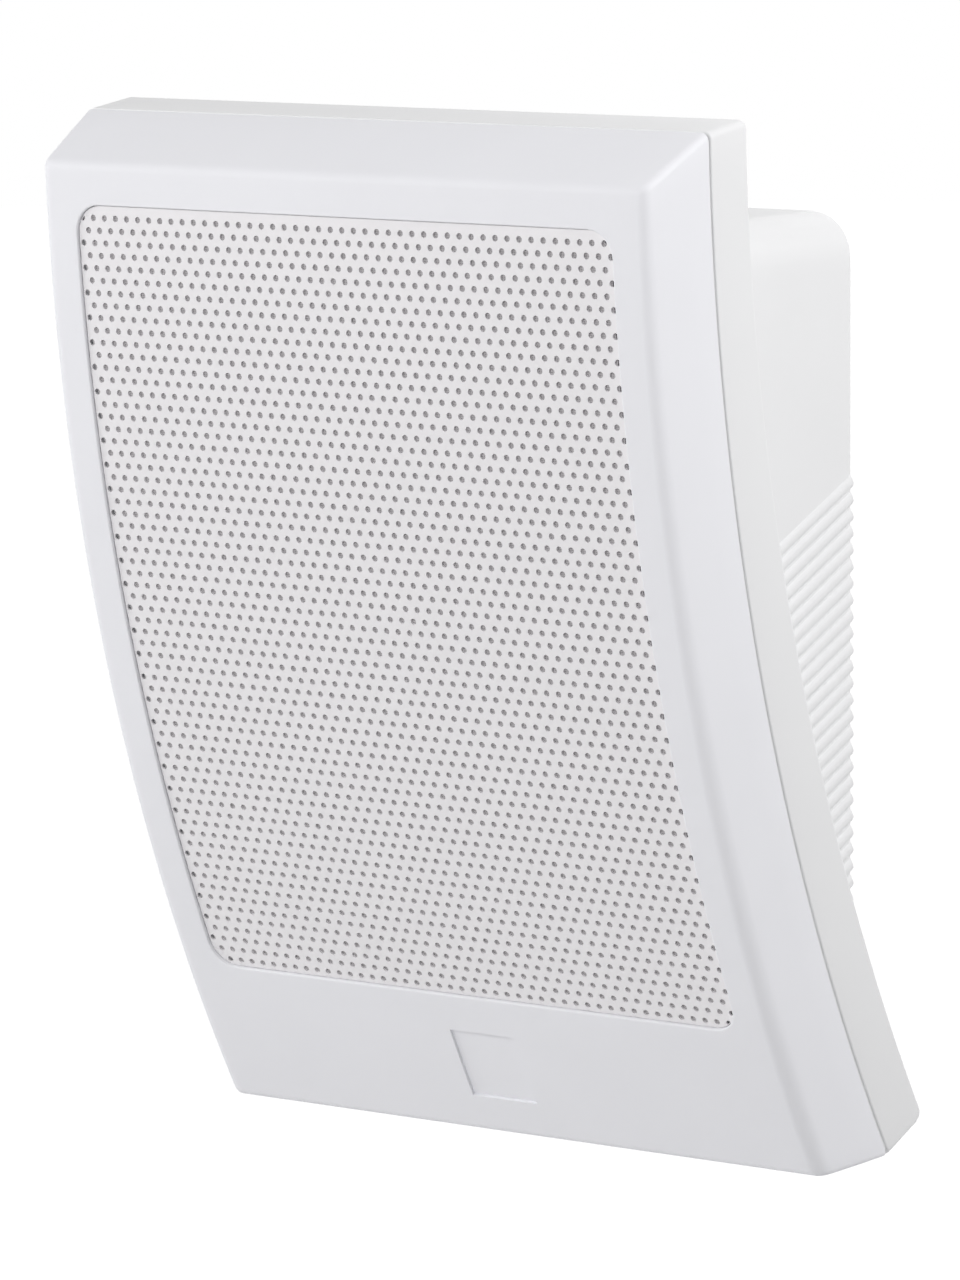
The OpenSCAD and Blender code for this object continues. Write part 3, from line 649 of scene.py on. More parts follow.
WIRE = Layered("copper_wire", linear(204, 118, 66), drift=0.04, rough=(0.18, 0.3), metal=1.0,
               pitch=0.22, axis=Axis.Y, turn=(-14.6, 0.0, 0.0), line=linear(92, 44, 22), coat=0.6)
SPIDER = Woven("spider_cloth", linear(206, 178, 106), drift=0.08, rough=(0.75, 0.9), thread=0.7,
               gap=linear(140, 108, 50))
FIBRE = Fibrous("tag_board", linear(140, 92, 58), drift=0.1, rough=(0.6, 0.75),
                fibre=(1300.0, 0.02))
LAMINATED = Layered("laminations", linear(112, 114, 118), drift=0.08, rough=(0.35, 0.5),
                    metal=0.8, line=linear(46, 42, 40))
BOBBIN = Moulded("bobbin_nylon", linear(226, 220, 200), rough=(0.4, 0.5), grain=(1800.0, 0.006))
TAPE = Layered("winding_tape", linear(222, 172, 42), drift=0.05, rough=(0.16, 0.28), pitch=7.0,
               axis=Axis.Y, line=linear(160, 112, 22), coat=0.5)
TERMINAL = Moulded("terminal_nylon", linear(222, 223, 216), rough=(0.36, 0.46),
                   grain=(1800.0, 0.006))
BRASS = Drawn("brass", linear(212, 178, 92), drift=0.06, rough=(0.2, 0.34), metal=1.0,
              streak=(900.0, 900.0, 60.0))
WADDING = Fibrous("wadding", linear(240, 240, 236), drift=0.04, rough=(0.95, 1.0), sheen=0.3,
                  fibre=(260.0, 0.9))

CARRIED: dict[str, Finish] = {
    "shell_screws": ZINC, "driver_gasket": FOAM, "driver_basket": BASKET, "driver_screws": ZINC,
    "coil_former": FORMER, "coil_winding": WIRE, "top_plate": PLATED, "magnet": FERRITE,
    "yoke": PLATED, "tag_strip": FIBRE, "transformer_core": LAMINATED,
    "transformer_bobbin": BOBBIN, "transformer_winding": TAPE, "transformer_strap": PLATED,
    "transformer_screws": ZINC, "terminal_block": TERMINAL, "terminal_clamps": BRASS,
    "terminal_screws": ZINC, "cable_grommet": RUBBER, "damping_pad": WADDING,
}


class Wardrobe:
    """Puts finishes on pieces, and makes each finish's material once."""

    def __init__(self) -> None:
        """Starts with no material made."""
        self.made: dict[str, bpy.types.Material] = {}

    def dress(self, piece: bpy.types.Object, finish: Finish) -> None:
        """Gives a piece a finish as its only material.

        Args:
            piece: the piece.
            finish: its finish.
        """
        if finish.name not in self.made:
            self.made[finish.name] = finish.material()
        piece.data.materials.clear()
        piece.data.materials.append(self.made[finish.name])

    def replace(self, piece: bpy.types.Object, finish: Finish, node: str, slot: str) -> None:
        """Finishes a new piece: gives it its material and hides the node it stands for.

        Args:
            piece: the new piece.
            finish: its finish.
            node: the CAD node that it replaces.
            slot: not used.
        """
        self.dress(piece, finish)
        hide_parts(node)
        LOG.info("%s: %d faces", piece.name, len(piece.data.polygons))

    def seat(self, piece: bpy.types.Object, finish: Finish, body: str, node: str,
             slot: str) -> None:
        """Puts a new piece on a body and finishes it.

        Args:
            piece, finish: the new piece and its finish.
            body: the body that it moves with.
            node, slot: the CAD node that it replaces, and the record's name for its material.
        """
        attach(piece, body)
        self.replace(piece, finish, node, slot)

    def dress_carried(self, nodes: dict[str, bpy.types.Object]) -> None:
        """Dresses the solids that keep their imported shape."""
        for name, finish in CARRIED.items():
            self.dress(nodes[name], finish)


@dataclass(frozen=True)
class Form:
    """The bowed form that all cabinet pieces share. Lengths are in millimetres, angles in degrees.

    The face, the joint line and the slab's back are arcs about one axis along x. A place on the
    cabinet is x, s and d: s is the length down the face from its top ridge, and d the depth
    below it.

    Attributes:
        face_w, face_len, face_radius: the face's width, its length along its arc, and its bow.
        top_lean: lean of the face at its top ridge.
        top_depth, top_rise: the top ridge's distance from the wall, and its height.
        frame_depth, rear_depth: depths of the front frame and of the slab's rear part.
        side_flare, end_flare, rear_flare: how far the walls lean out: the frame's side walls, its
            end walls, and the rear part's end walls.
        ridge_r, rear_round: radii of the front ridge and of the slab's inner back edge.
        wall, joint_gap: thickness of the walls, and the gap of the joint line.
        border_w, opening_len, opening_top, opening_r: the border beside the grille, and the
            grille opening's length, place and corner radius.
        seat_depth: depth of the grille's seat.
        ridge_growth, joint_growth, rear_growth: what the ridge's radius, the joint line and the
            slab's back gain towards the foot.
        joint_rise, rear_rise: what both ends gain at the joint line and at the slab's back.
        mount_q: distance of the baffle's back from the arcs' axis.
        flat_x: places along x that every ring has in common, the widest of them flat_half.
    """

    face_w: float = 182.0
    face_len: float = 258.0
    face_radius: float = 542.0
    top_lean: float = 2.7
    top_depth: float = 111.0
    top_rise: float = 44.0
    frame_depth: float = 22.0
    rear_depth: float = 16.0
    side_flare: float = 3.0
    end_flare: float = 10.6
    rear_flare: float = 1.0
    ridge_r: float = 3.0
    rear_round: float = 5.0
    wall: float = 2.5
    joint_gap: float = 0.2
    border_w: float = 10.2
    opening_len: float = 205.0
    opening_top: float = 10.2
    opening_r: float = 7.0
    seat_depth: float = 2.3
    ridge_growth: float = 1.3
    joint_growth: float = 0.9
    rear_growth: float = 0.5
    joint_rise: float = 0.4
    rear_rise: float = 0.8
    mount_q: float = 525.6
    flat_half: float = 60.0
    flat_x: tuple[float, ...] = (-60, -50, -40, -30, -20, -9.9, -4, 4, 9.9, 20, 30, 40, 50, 60)

    @property
    def axis(self) -> tuple[float, float]:
        """The arcs' axis: its y and z.

        Returns:
            Its y and z, in millimetres.
        """
        lean = math.radians(self.top_lean)
        return (self.face_radius * math.cos(lean) - self.top_depth,
                self.top_rise + self.face_radius * math.sin(lean))

    @property
    def mid(self) -> float:
        """Angle of the middle of the grille opening, in radians."""
        middle = self.opening_top + self.opening_len / 2
        return math.radians(self.top_lean) + middle / self.face_radius

    def on_arc(self, x: np.ndarray, s: np.ndarray, d: np.ndarray | float) -> np.ndarray:
        """Places in space: y = axis y - r cos a, z = axis z - r sin a, r = face radius - d.

        Args:
            x: places along x.
            s: lengths down the face.
            d: depths below it.

        Returns:
            An array of x, y and z.
        """
        a = math.radians(self.top_lean) + s / self.face_radius
        r = self.face_radius - d
        y, z = self.axis
        return np.stack([x + 0.0 * a, y - r * np.cos(a), z - r * np.sin(a)], axis=-1)

    def on_mid(self, x: np.ndarray, v: np.ndarray, q: np.ndarray | float) -> np.ndarray:
        """Places in the frame square to the opening's middle: q from the axis outwards, v up.

        Args:
            x: places along x.
            v: places upwards, along the face's slope at the middle.
            q: distances from the axis.

        Returns:
            An array of x, y and z.
        """
        c, s = math.cos(self.mid), math.sin(self.mid)
        x, v, q = np.broadcast_arrays(x, v, q)
        return np.stack([x, self.axis[0] - q * c - v * s, self.axis[1] - q * s + v * c], axis=-1)

    def drop(self, v: float, depth: float) -> float:
        """Distance from the axis, along the middle direction, of an arc's depth at a place v."""
        return math.sqrt((self.face_radius - depth) ** 2 - v * v)

    def band(self, shape: tuple[float, float, float, float], inset: float, depth: float,
             **steps: int) -> np.ndarray:
        """A ring in space: a rectangle of half width, top, foot and corner, inset on all sides.

        Args:
            shape: its half width, both ends along s and its corner radius.
            inset: how far the ring lies inside it.
            depth: the ring's depth below the face.
            steps: numbers of steps for ring, where they aren't the usual ones.

        Returns:
            An array of x, y and z.
        """
        half, top, foot, corner = shape
        ring = self.ring(half - inset, top + inset, foot - inset, corner - inset, **steps)
        return self.on_arc(ring[:, 0], ring[:, 1], depth)

    def opening(self, gap: float = 0.0) -> tuple[float, float, float, float]:
        """Half width, top, foot and corner radius of the grille opening, smaller by a gap."""
        return (self.face_w / 2 - self.border_w - gap, self.opening_top + gap,
                self.opening_top + self.opening_len - gap, self.opening_r - gap)

    def ring(self, half_w: float, top: float, foot: float, corner: float, side: int = 56,
             arc: int = 6) -> np.ndarray:
        """A closed ring of a rectangle with round corners, clockwise from its top left corner.

        Each ring has its points at the same shares of its sides, and within flat_half at the same
        x, so rings of any size pair up point by point.

        Args:
            half_w: half the width.
            top, foot: where the ring starts and ends along s.
            corner: radius of the corners.
            side, arc: number of steps along a side wall and round a corner.

        Returns:
            An array of n rows of x and s.
        """
        h = half_w - corner
        outer = np.linspace(self.flat_half, h, 5)[1:]
        xs = np.concatenate([-outer[::-1], np.array(self.flat_x), outer])
        down = np.linspace(top + corner, foot - corner, side + 1)
        t = np.linspace(0.0, 0.5 * np.pi, arc + 1)[1:-1]

        def turn(cx: float, cs: float, start: float) -> np.ndarray:
            """Inner points of one corner's arc."""
            a = start + t
            return np.stack([cx + corner * np.cos(a), cs + corner * np.sin(a)], axis=-1)

        parts = [
            np.stack([xs, np.full_like(xs, top)], axis=-1),
            turn(h, top + corner, -0.5 * np.pi),
            np.stack([np.full_like(down, half_w), down], axis=-1),
            turn(h, foot - corner, 0.0),
            np.stack([xs[::-1], np.full_like(xs, foot)], axis=-1),
            turn(-h, foot - corner, 0.5 * np.pi),
            np.stack([np.full_like(down, -half_w), down[::-1]], axis=-1),
            turn(-h, top + corner, np.pi),
        ]
        return np.concatenate(parts)

    def softened(self, ring: np.ndarray, depth: float) -> np.ndarray:
        """Widens a ring towards its foot, where the side ridge gets softer.

        The ridge's radius grows by g = growth t, where t goes smoothly from 0 at the top to 1 at
        the foot. The sides move out by 0.8 g at the face and by the joint's own growth at the
        joint line, less the change in the ridge's inset at this depth.

        Args:
            ring: x and s of each point.
            depth: the ring's depth below the face.

        Returns:
            The ring with its x changed beyond flat_half.
        """
        t = np.clip(ring[:, 1] / self.face_len, 0.0, 1.0)
        t = np.sin(0.5 * np.pi * t) ** 1.5
        lean = math.atan(self.side_flare / self.frame_depth)
        back = min(depth / self.frame_depth, 1.0)
        grown = 0.8 * self.ridge_growth * t * (1.0 - back) + self.joint_growth * t * back
        grown += self.rear_growth * t * max(0.0, depth - self.frame_depth) / self.rear_depth
        radii = self.ridge_r + self.ridge_growth * t
        inset = np.array([float(edge_inset(depth, r, lean)) for r in radii])
        grown -= inset - float(edge_inset(depth, self.ridge_r, lean))
        beyond = np.abs(ring[:, 0]) - self.flat_half
        share = np.clip(beyond / beyond.max(), 0.0, 1.0)
        return np.stack([ring[:, 0] + np.sign(ring[:, 0]) * grown * share, ring[:, 1]], axis=-1)

    def spread(self, depth: float) -> tuple[float, float, float]:
        """Half width and both ends of the outline at a depth, before any edge is rounded.

        Args:
            depth: the depth below the face.

        Returns:
            Half the width, and both ends along s.
        """
        front = min(depth, self.frame_depth) / self.frame_depth
        back = max(0.0, depth - self.frame_depth) / self.rear_depth
        joint_r = self.face_radius - self.frame_depth
        rear_r = joint_r - self.rear_depth
        out = self.face_radius * (self.end_flare / joint_r * front
                                  + self.rear_flare / rear_r * back)
        out += self.joint_rise * front + self.rear_rise * back
        return self.face_w / 2 + self.side_flare * front, -out, self.face_len + out


def edge_inset(height: np.ndarray | float, radius: float, slope: float) -> np.ndarray:
    """How far an edge's round lies inside a wall that leans out, at a height behind the face.

    The round's centre is radius (1 - sin slope) / cos slope inside the corner and one radius
    behind the face. It is followed until it meets the wall.

    Args:
        height: distance behind the face.
        radius: radius of the round.
        slope: how much the wall leans out, in radians.

    Returns:
        The inset from the plain wall, 0 where the round has met it.
    """
    height = np.asarray(height, dtype=float)
    centre = radius * (1.0 - math.sin(slope)) / math.cos(slope)
    level = radius - np.minimum(height, radius)
    reach = -centre + np.sqrt(np.maximum(0.0, radius**2 - level**2))
    met = radius * (1.0 - math.sin(slope))
    return np.where(height < met, height * math.tan(slope) - reach, 0.0)


@dataclass
class FrontFrame:
    """The front moulding: outer walls, soft ridge, border, seat of the grille, and baffle.

    Attributes:
        corner: corner radius of the outer walls.
        edge, ease: radii of the opening's edge and of the joint line's edge.
        seat_w, seat_t: width and thickness of the grille's seat.
        wall_depths: depths of the rings between the joint line's edge and the ridge.
        baffle_t, baffle_half: thickness of the baffle and half its height.
        cutout_r: radius of the driver's opening.
        pocket_half, pocket_span, pocket_depth: half width, ends along s and depth of the pocket.
        screw_ring: distance of the driver's screws from its centre.
        post_x: distance of the cabinet's screws from the middle.
        pilot_r, boss_r, post_r: radii of the screws' holes, the bosses and the posts.
        post_from: depth at which the posts start.
    """

    form: Form
    corner: float = 2.0
    edge: float = 0.35
    ease: float = 0.6
    seat_w: float = 3.5
    seat_t: float = 1.8
    wall_depths: tuple[float, ...] = (14.0, 8.0, 6.0, 5.4, 5.0, 4.5, 4.0, 3.5)
    baffle_t: float = 3.0
    baffle_half: float = 100.4
    cutout_r: float = 69.0
    pocket_half: float = 9.9
    pocket_span: tuple[float, float] = (226.0, 246.6)
    pocket_depth: float = 0.8
    screw_ring: float = 74.25
    post_x: float = 87.8
    pilot_r: float = 1.35
    boss_r: float = 3.5
    post_r: float = 4.0
    post_from: float = 9.0

    def build(self) -> bpy.types.Object:
        """Builds the moulding as one closed loft, a baffle, and its screw posts.

        Returns:
            The new piece.
        """
        form, skin = self.form, Skin()
        rings, rows = self.rings()
        count = rings.shape[1]
        quads = lattice(len(rings), count, True, True)
        flat = rings.reshape(-1, 3)
        crossing = np.zeros(len(flat), dtype=bool)
        for row in rows:
            crossing[row * count:(row + 1) * count] = True
        above = form.on_arc(np.zeros(1), np.array([self.pocket_span[0] - 5.0]), 0.0)[0, 2]
        inside = (np.abs(flat[:, 0]) <= self.pocket_half + 1e-6) & crossing & (flat[:, 2] < above)
        kept = [q for q in quads if not all(inside[i] for i in q)]
        skin.add(flat, flipped(kept) if enclosed_volume(flat, quads) < 0 else kept)
        self.pocket(skin)
        self.baffle(skin)
        return skin.object("front_moulding")

    def rings(self) -> tuple[np.ndarray, list[int]]:
        """Rings from the joint line out over the ridge, in to the opening, and back behind it.

        Returns:
            The rings, and the numbers of those that cross the bare pocket.
        """
        form = self.form
        side = math.atan(form.side_flare / form.frame_depth)
        end = math.atan(form.end_flare / form.frame_depth)
        bend = form.ridge_r * (1.0 - np.cos(np.linspace(0.5 * np.pi, 0.0, 11)))
        joint = form.frame_depth - self.ease * (1.0 - np.cos(np.linspace(0.0, 0.5 * np.pi, 4)))
        depths = np.concatenate([joint, self.wall_depths, bend])
        made: list[np.ndarray] = []
        for d in depths:
            half, top, foot = form.spread(float(d))
            past = max(0.0, d - form.frame_depth + self.ease)
            eased = self.ease - math.sqrt(self.ease**2 - past**2)
            half -= float(edge_inset(d, form.ridge_r, side)) + eased
            give = float(edge_inset(d, form.ridge_r, end)) + eased
            corner = max(0.5, self.corner - give)
            ring = form.softened(form.ring(half, top + give, foot - give, corner), float(d))
            made.append(form.on_arc(ring[:, 0], ring[:, 1], float(d)))
        outer = ring
        mouth = form.opening(-self.edge)
        edge_ring = form.ring(*mouth)
        low, high = outer[:, 1].max(), edge_ring[:, 1].max()
        at_foot = (low - self.pocket_span[1]) / (low - high)
        at_head = (low - self.pocket_span[0]) / (low - high)
        shares = (0.01, *np.linspace(at_foot, at_head, 4), 0.985, 1.0)
        rows = [len(made) + k for k in (1, 2, 3, 4)]
        for share in shares:
            ring = outer + (edge_ring - outer) * share
            made.append(form.on_arc(ring[:, 0], ring[:, 1], 0.0))
        for t in np.linspace(0.0, 0.5 * np.pi, 4)[1:]:
            made.append(form.band(mouth, self.edge * math.sin(t), self.edge * (1.0 - math.cos(t))))
        made.append(form.band(mouth, self.edge, form.seat_depth))
        inner = form.seat_depth + self.seat_t
        for depth in (form.seat_depth, inner):
            made.append(form.band(form.opening(), self.seat_w, depth))
        for depth in (inner, form.frame_depth):
            half, top, foot = form.spread(depth)
            ring = form.ring(half - form.wall, top + form.wall, foot - form.wall, 0.5)
            made.append(form.on_arc(ring[:, 0], ring[:, 1], depth))
        return np.stack(made), rows

    def pocket(self, skin: Skin) -> None:
        """Adds the bare pocket's walls and floor, from the same places as the gap in the border.

        Args:
            skin: the mesh under construction.
        """
        form = self.form
        xs = np.array([x for x in form.flat_x if abs(x) <= self.pocket_half + 1e-6])
        head, foot = self.pocket_span
        ss = np.linspace(head, foot, 4)
        grid_x, grid_s = np.meshgrid(xs, ss)
        floor = form.on_arc(grid_x, grid_s, self.pocket_depth)
        skin.add(floor.reshape(-1, 3), flipped(lattice(len(ss), len(xs), False, False)))
        edge = np.concatenate([
            np.stack([xs, np.full_like(xs, head)], -1),
            np.stack([np.full_like(ss, xs[-1]), ss], -1)[1:],
            np.stack([xs[::-1], np.full_like(xs, foot)], -1)[1:],
            np.stack([np.full_like(ss, xs[0]), ss[::-1]], -1)[1:-1],
        ])
        ends = (0.0, self.pocket_depth)
        walls = np.stack([form.on_arc(edge[:, 0], edge[:, 1], d) for d in ends])
        skin.add(walls.reshape(-1, 3), flipped(lattice(2, len(edge), False, True)))

    def baffle(self, skin: Skin) -> None:
        """Adds the flat baffle with the driver's opening, and the posts that take the screws.

        Args:
            skin: the mesh under construction.
        """
        form = self.form
        back, front = form.mount_q, form.mount_q + self.baffle_t
        outline = form.ring(form.face_w / 2 + 0.4, -self.baffle_half, self.baffle_half, 0.5)
        circle = outline / np.hypot(outline[:, 0], outline[:, 1])[:, None] * self.cutout_r
        section = ((outline, front), (circle, front), (circle, back), (outline, back))
        skin.loft(np.stack([form.on_mid(p[:, 0], p[:, 1], q) for p, q in section]),
                  closed_rows=True)
        for k in range(4):
            t = math.radians(45 + 90 * k)
            place = (self.screw_ring * math.cos(t), self.screw_ring * math.sin(t))
            tube(skin, form, place, (self.pilot_r, self.boss_r), (front - 0.5, back + 7.0))
        for x in (-self.post_x, self.post_x):
            for v in post_heights(form):
                ends = (form.drop(v, form.frame_depth) + 0.9, form.drop(v, self.post_from))
                tube(skin, form, (x, v), (self.pilot_r, self.post_r), ends)


def post_heights(form: Form) -> tuple[float, float, float]:
    """Places of the cabinet's screws along the middle's up direction.

    Args:
        form: the cabinet's form.

    Returns:
        The upper, middle and lower place.
    """
    joint_r = form.face_radius - form.frame_depth
    top = math.radians(form.top_lean) - form.end_flare / joint_r
    foot = (math.radians(form.top_lean) + form.face_len / form.face_radius
            + form.end_flare / joint_r)
    inset = form.wall + form.rear_round + 4.0
    return (joint_r * math.sin(form.mid - top) - inset, -39.0,
            inset - joint_r * math.sin(foot - form.mid))


def tube(skin: Skin, form: Form, place: tuple[float, float], radii: tuple[float, float],
         span: tuple[float, float], steps: int = 24) -> None:
    """Adds a tube along the middle direction.

    Args:
        skin: the mesh under construction.
        form: the cabinet's form.
        place: its x and its place along the middle's up direction.
        radii: inner and outer radius.
        span: its ends, measured from the arcs' axis.
        steps: number of points round it.
    """
    t = np.linspace(0.0, 2.0 * np.pi, steps, endpoint=False)
    section = ((radii[0], span[0]), (radii[1], span[0]), (radii[1], span[1]), (radii[0], span[1]))
    rings = [form.on_mid(place[0] + r * np.cos(t), place[1] + r * np.sin(t), q)
             for r, q in section]
    skin.loft(np.stack(rings), closed_rows=True)


@dataclass
class Grille:
    """The punched steel sheet: staggered round holes on the bowed face, with cloth behind it.

    Attributes:
        recess, thick: the sheet's depth below the face, and its thickness.
        gap: gap between the sheet and the opening's edge.
        pitch, row_angle: spacing of the holes in a row, and of the rows in degrees.
        first_angle, shift: angle of the first row, and the holes' place along x.
        rows, columns: first and last number of the rows and columns, more than the sheet shows.
        hole_r, sides: radius of a hole, and number of its sides.
        cloth_t, cloth_inset: thickness of the cloth, and how far it lies inside the sheet.
        rim: width of the sheet's plain edge.
    """

    form: Form
    recess: float = 0.9
    thick: float = 0.5
    gap: float = 0.18
    pitch: float = 3.5
    row_angle: float = 0.33
    first_angle: float = 4.12
    shift: float = 1.07
    rows: tuple[int, int] = (-2, 66)
    columns: tuple[int, int] = (-26, 26)
    hole_r: float = 0.82
    sides: int = 10
    cloth_t: float = 0.4
    cloth_inset: float = 1.0
    rim: float = 0.22

    def build(self) -> bpy.types.Object:
        """Builds the sheet from one cell a hole, and its rim.

        Returns:
            The new piece.
        """
        skin = Skin()
        outline, mouth = self.cell()
        centres = self.centres()
        n = self.sides
        punched = centres[:, 1] > self.form.opening_top + self.gap + self.hole_r
        edge = centres[:, None, :] + outline[None]
        lip = centres[:, None, :] + mouth[None] * punched[:, None, None]
        keep = self.inside(edge).any(axis=1)
        edge, lip = self.hold(edge[keep]), self.hold(lip[keep])
        front, back = self.recess, self.recess + self.thick
        layers = [self.form.on_arc(p[..., 0], p[..., 1], d)
                  for p, d in ((edge, front), (lip, front), (lip, back), (edge, back))]
        cells = np.stack(layers, axis=1)
        m = len(cells)
        local = np.array(lattice(4, n, False, True))
        faces = (local[None] + np.arange(m)[:, None, None] * (4 * n)).reshape(-1, 4)
        points = cells.reshape(-1, 3)
        sizes = quad_areas(points, faces)
        skin.add(points, flipped(faces[sizes > 1e-4].tolist()))
        self.add_rim(skin)
        return skin.object("grille_sheet", crease=40.0, merge=4e-6)

    def cloth(self) -> bpy.types.Object:
        """Builds the cloth that is glued to the sheet's back, as one closed bowed pad.

        Returns:
            The new piece.
        """
        half, top, foot, corner = self.form.opening(self.gap)
        front = self.recess + self.thick + 0.02
        back, edge = front + self.cloth_t, self.cloth_inset
        skin = Skin()
        rings = []
        for inset, depth in ((8.0, front), (edge, front), (edge, back), (8.0, back)):
            ring = self.form.ring(half - inset, top + inset, foot - inset,
                                  max(1.0, corner - inset))
            rings.append(self.form.on_arc(ring[:, 0], ring[:, 1], depth))
        line = 0.0 * ring[:, 0]
        first, last = (self.form.on_arc(line, ring[:, 1], d) for d in (front, back))
        skin.loft(np.stack([first, *rings, last]))
        return skin.object("grille_backing")

    def cell(self) -> tuple[np.ndarray, np.ndarray]:
        """One cell: its outline on the brick pattern and the hole's mouth, point by point.

        Returns:
            The outline and the mouth, as rows of x and s from the hole's centre.
        """
        w, h = self.pitch / 2, math.radians(self.row_angle) * self.form.face_radius / 2
        outline = np.array([[w, -h / 3], [w, -h], [0, -h], [-w, -h], [-w, -h / 3],
                            [-w, h / 3], [-w, h], [0, h], [w, h], [w, h / 3]])
        t = np.radians(-18.0 - 36.0 * np.arange(self.sides))
        return outline, self.hole_r * np.stack([np.cos(t), np.sin(t)], axis=-1)

    def centres(self) -> np.ndarray:
        """Centres of all holes: rows at equal angles, each second row shifted by half a pitch.

        Returns:
            Rows of x and s.
        """
        rows, columns = (np.arange(a, b + 1) for a, b in (self.rows, self.columns))
        i, j = np.meshgrid(rows, columns, indexing="ij")
        x = self.shift + self.pitch * (j + 0.5 * (i % 2))
        angle = self.first_angle - self.form.top_lean + self.row_angle * i
        s = np.radians(angle) * self.form.face_radius
        return np.stack([x, s], axis=-1).reshape(-1, 2)

    def inside(self, p: np.ndarray) -> np.ndarray:
        """Which points lie on the sheet."""
        return np.abs(self.hold(p) - p).max(axis=-1) < 1e-9

    def hold(self, p: np.ndarray) -> np.ndarray:
        """Moves points that lie past the sheet's outline onto it.

        They go onto its straight edges first and then, in a corner's square, onto the corner's
        arc along the line to its centre.

        Args:
            p: x and s of each point.

        Returns:
            The points, each on the sheet or on its outline.
        """
        half, top, foot, corner = self.form.opening(self.gap)
        x = np.clip(p[..., 0], -half, half)
        s = np.clip(p[..., 1], top, foot)
        cx = np.sign(x) * (half - corner)
        cs = np.where(s < (top + foot) / 2, top + corner, foot - corner)
        in_corner = (np.abs(x) > half - corner) & ((s < top + corner) | (s > foot - corner))
        dx, ds = x - cx, s - cs
        length = np.maximum(np.hypot(dx, ds), 1e-9)
        share = np.where(in_corner & (length > corner), corner / length, 1.0)
        x = np.where(in_corner, cx + dx * share, x)
        return np.stack([x, np.where(in_corner, cs + ds * share, s)], axis=-1)

    def add_rim(self, skin: Skin) -> None:
        """Adds the sheet's plain edge, a slim closed band round its outline.

        Args:
            skin: the mesh under construction.
        """
        front, back = self.recess - 0.005, self.recess + self.thick + 0.005
        section = ((0.0, self.recess + 0.06), (0.08, front), (self.rim, front), (self.rim, back),
                   (0.0, back))
        sheet = self.form.opening(self.gap)
        rings = [self.form.band(sheet, inset, depth, side=72, arc=8) for inset, depth in section]
        skin.loft(np.stack(rings), closed_rows=True)


def quad_areas(points: np.ndarray, faces: np.ndarray) -> np.ndarray:
    """Area of each quad: half the length of the cross product of its diagonals.

    Args:
        points: an array of n rows of x, y and z.
        faces: four corner numbers of each quad.

    Returns:
        One area for each quad.
    """
    a, b, c, d = (points[faces[:, k]] for k in range(4))
    return 0.5 * np.linalg.norm(np.cross(c - a, d - b), axis=-1)


def round_give(radius: float, height: float) -> float:
    """How far a quarter round lies inside its corner at a height from its flat side."""
    return radius - math.sqrt(max(0.0, radius**2 - max(0.0, radius - height) ** 2))


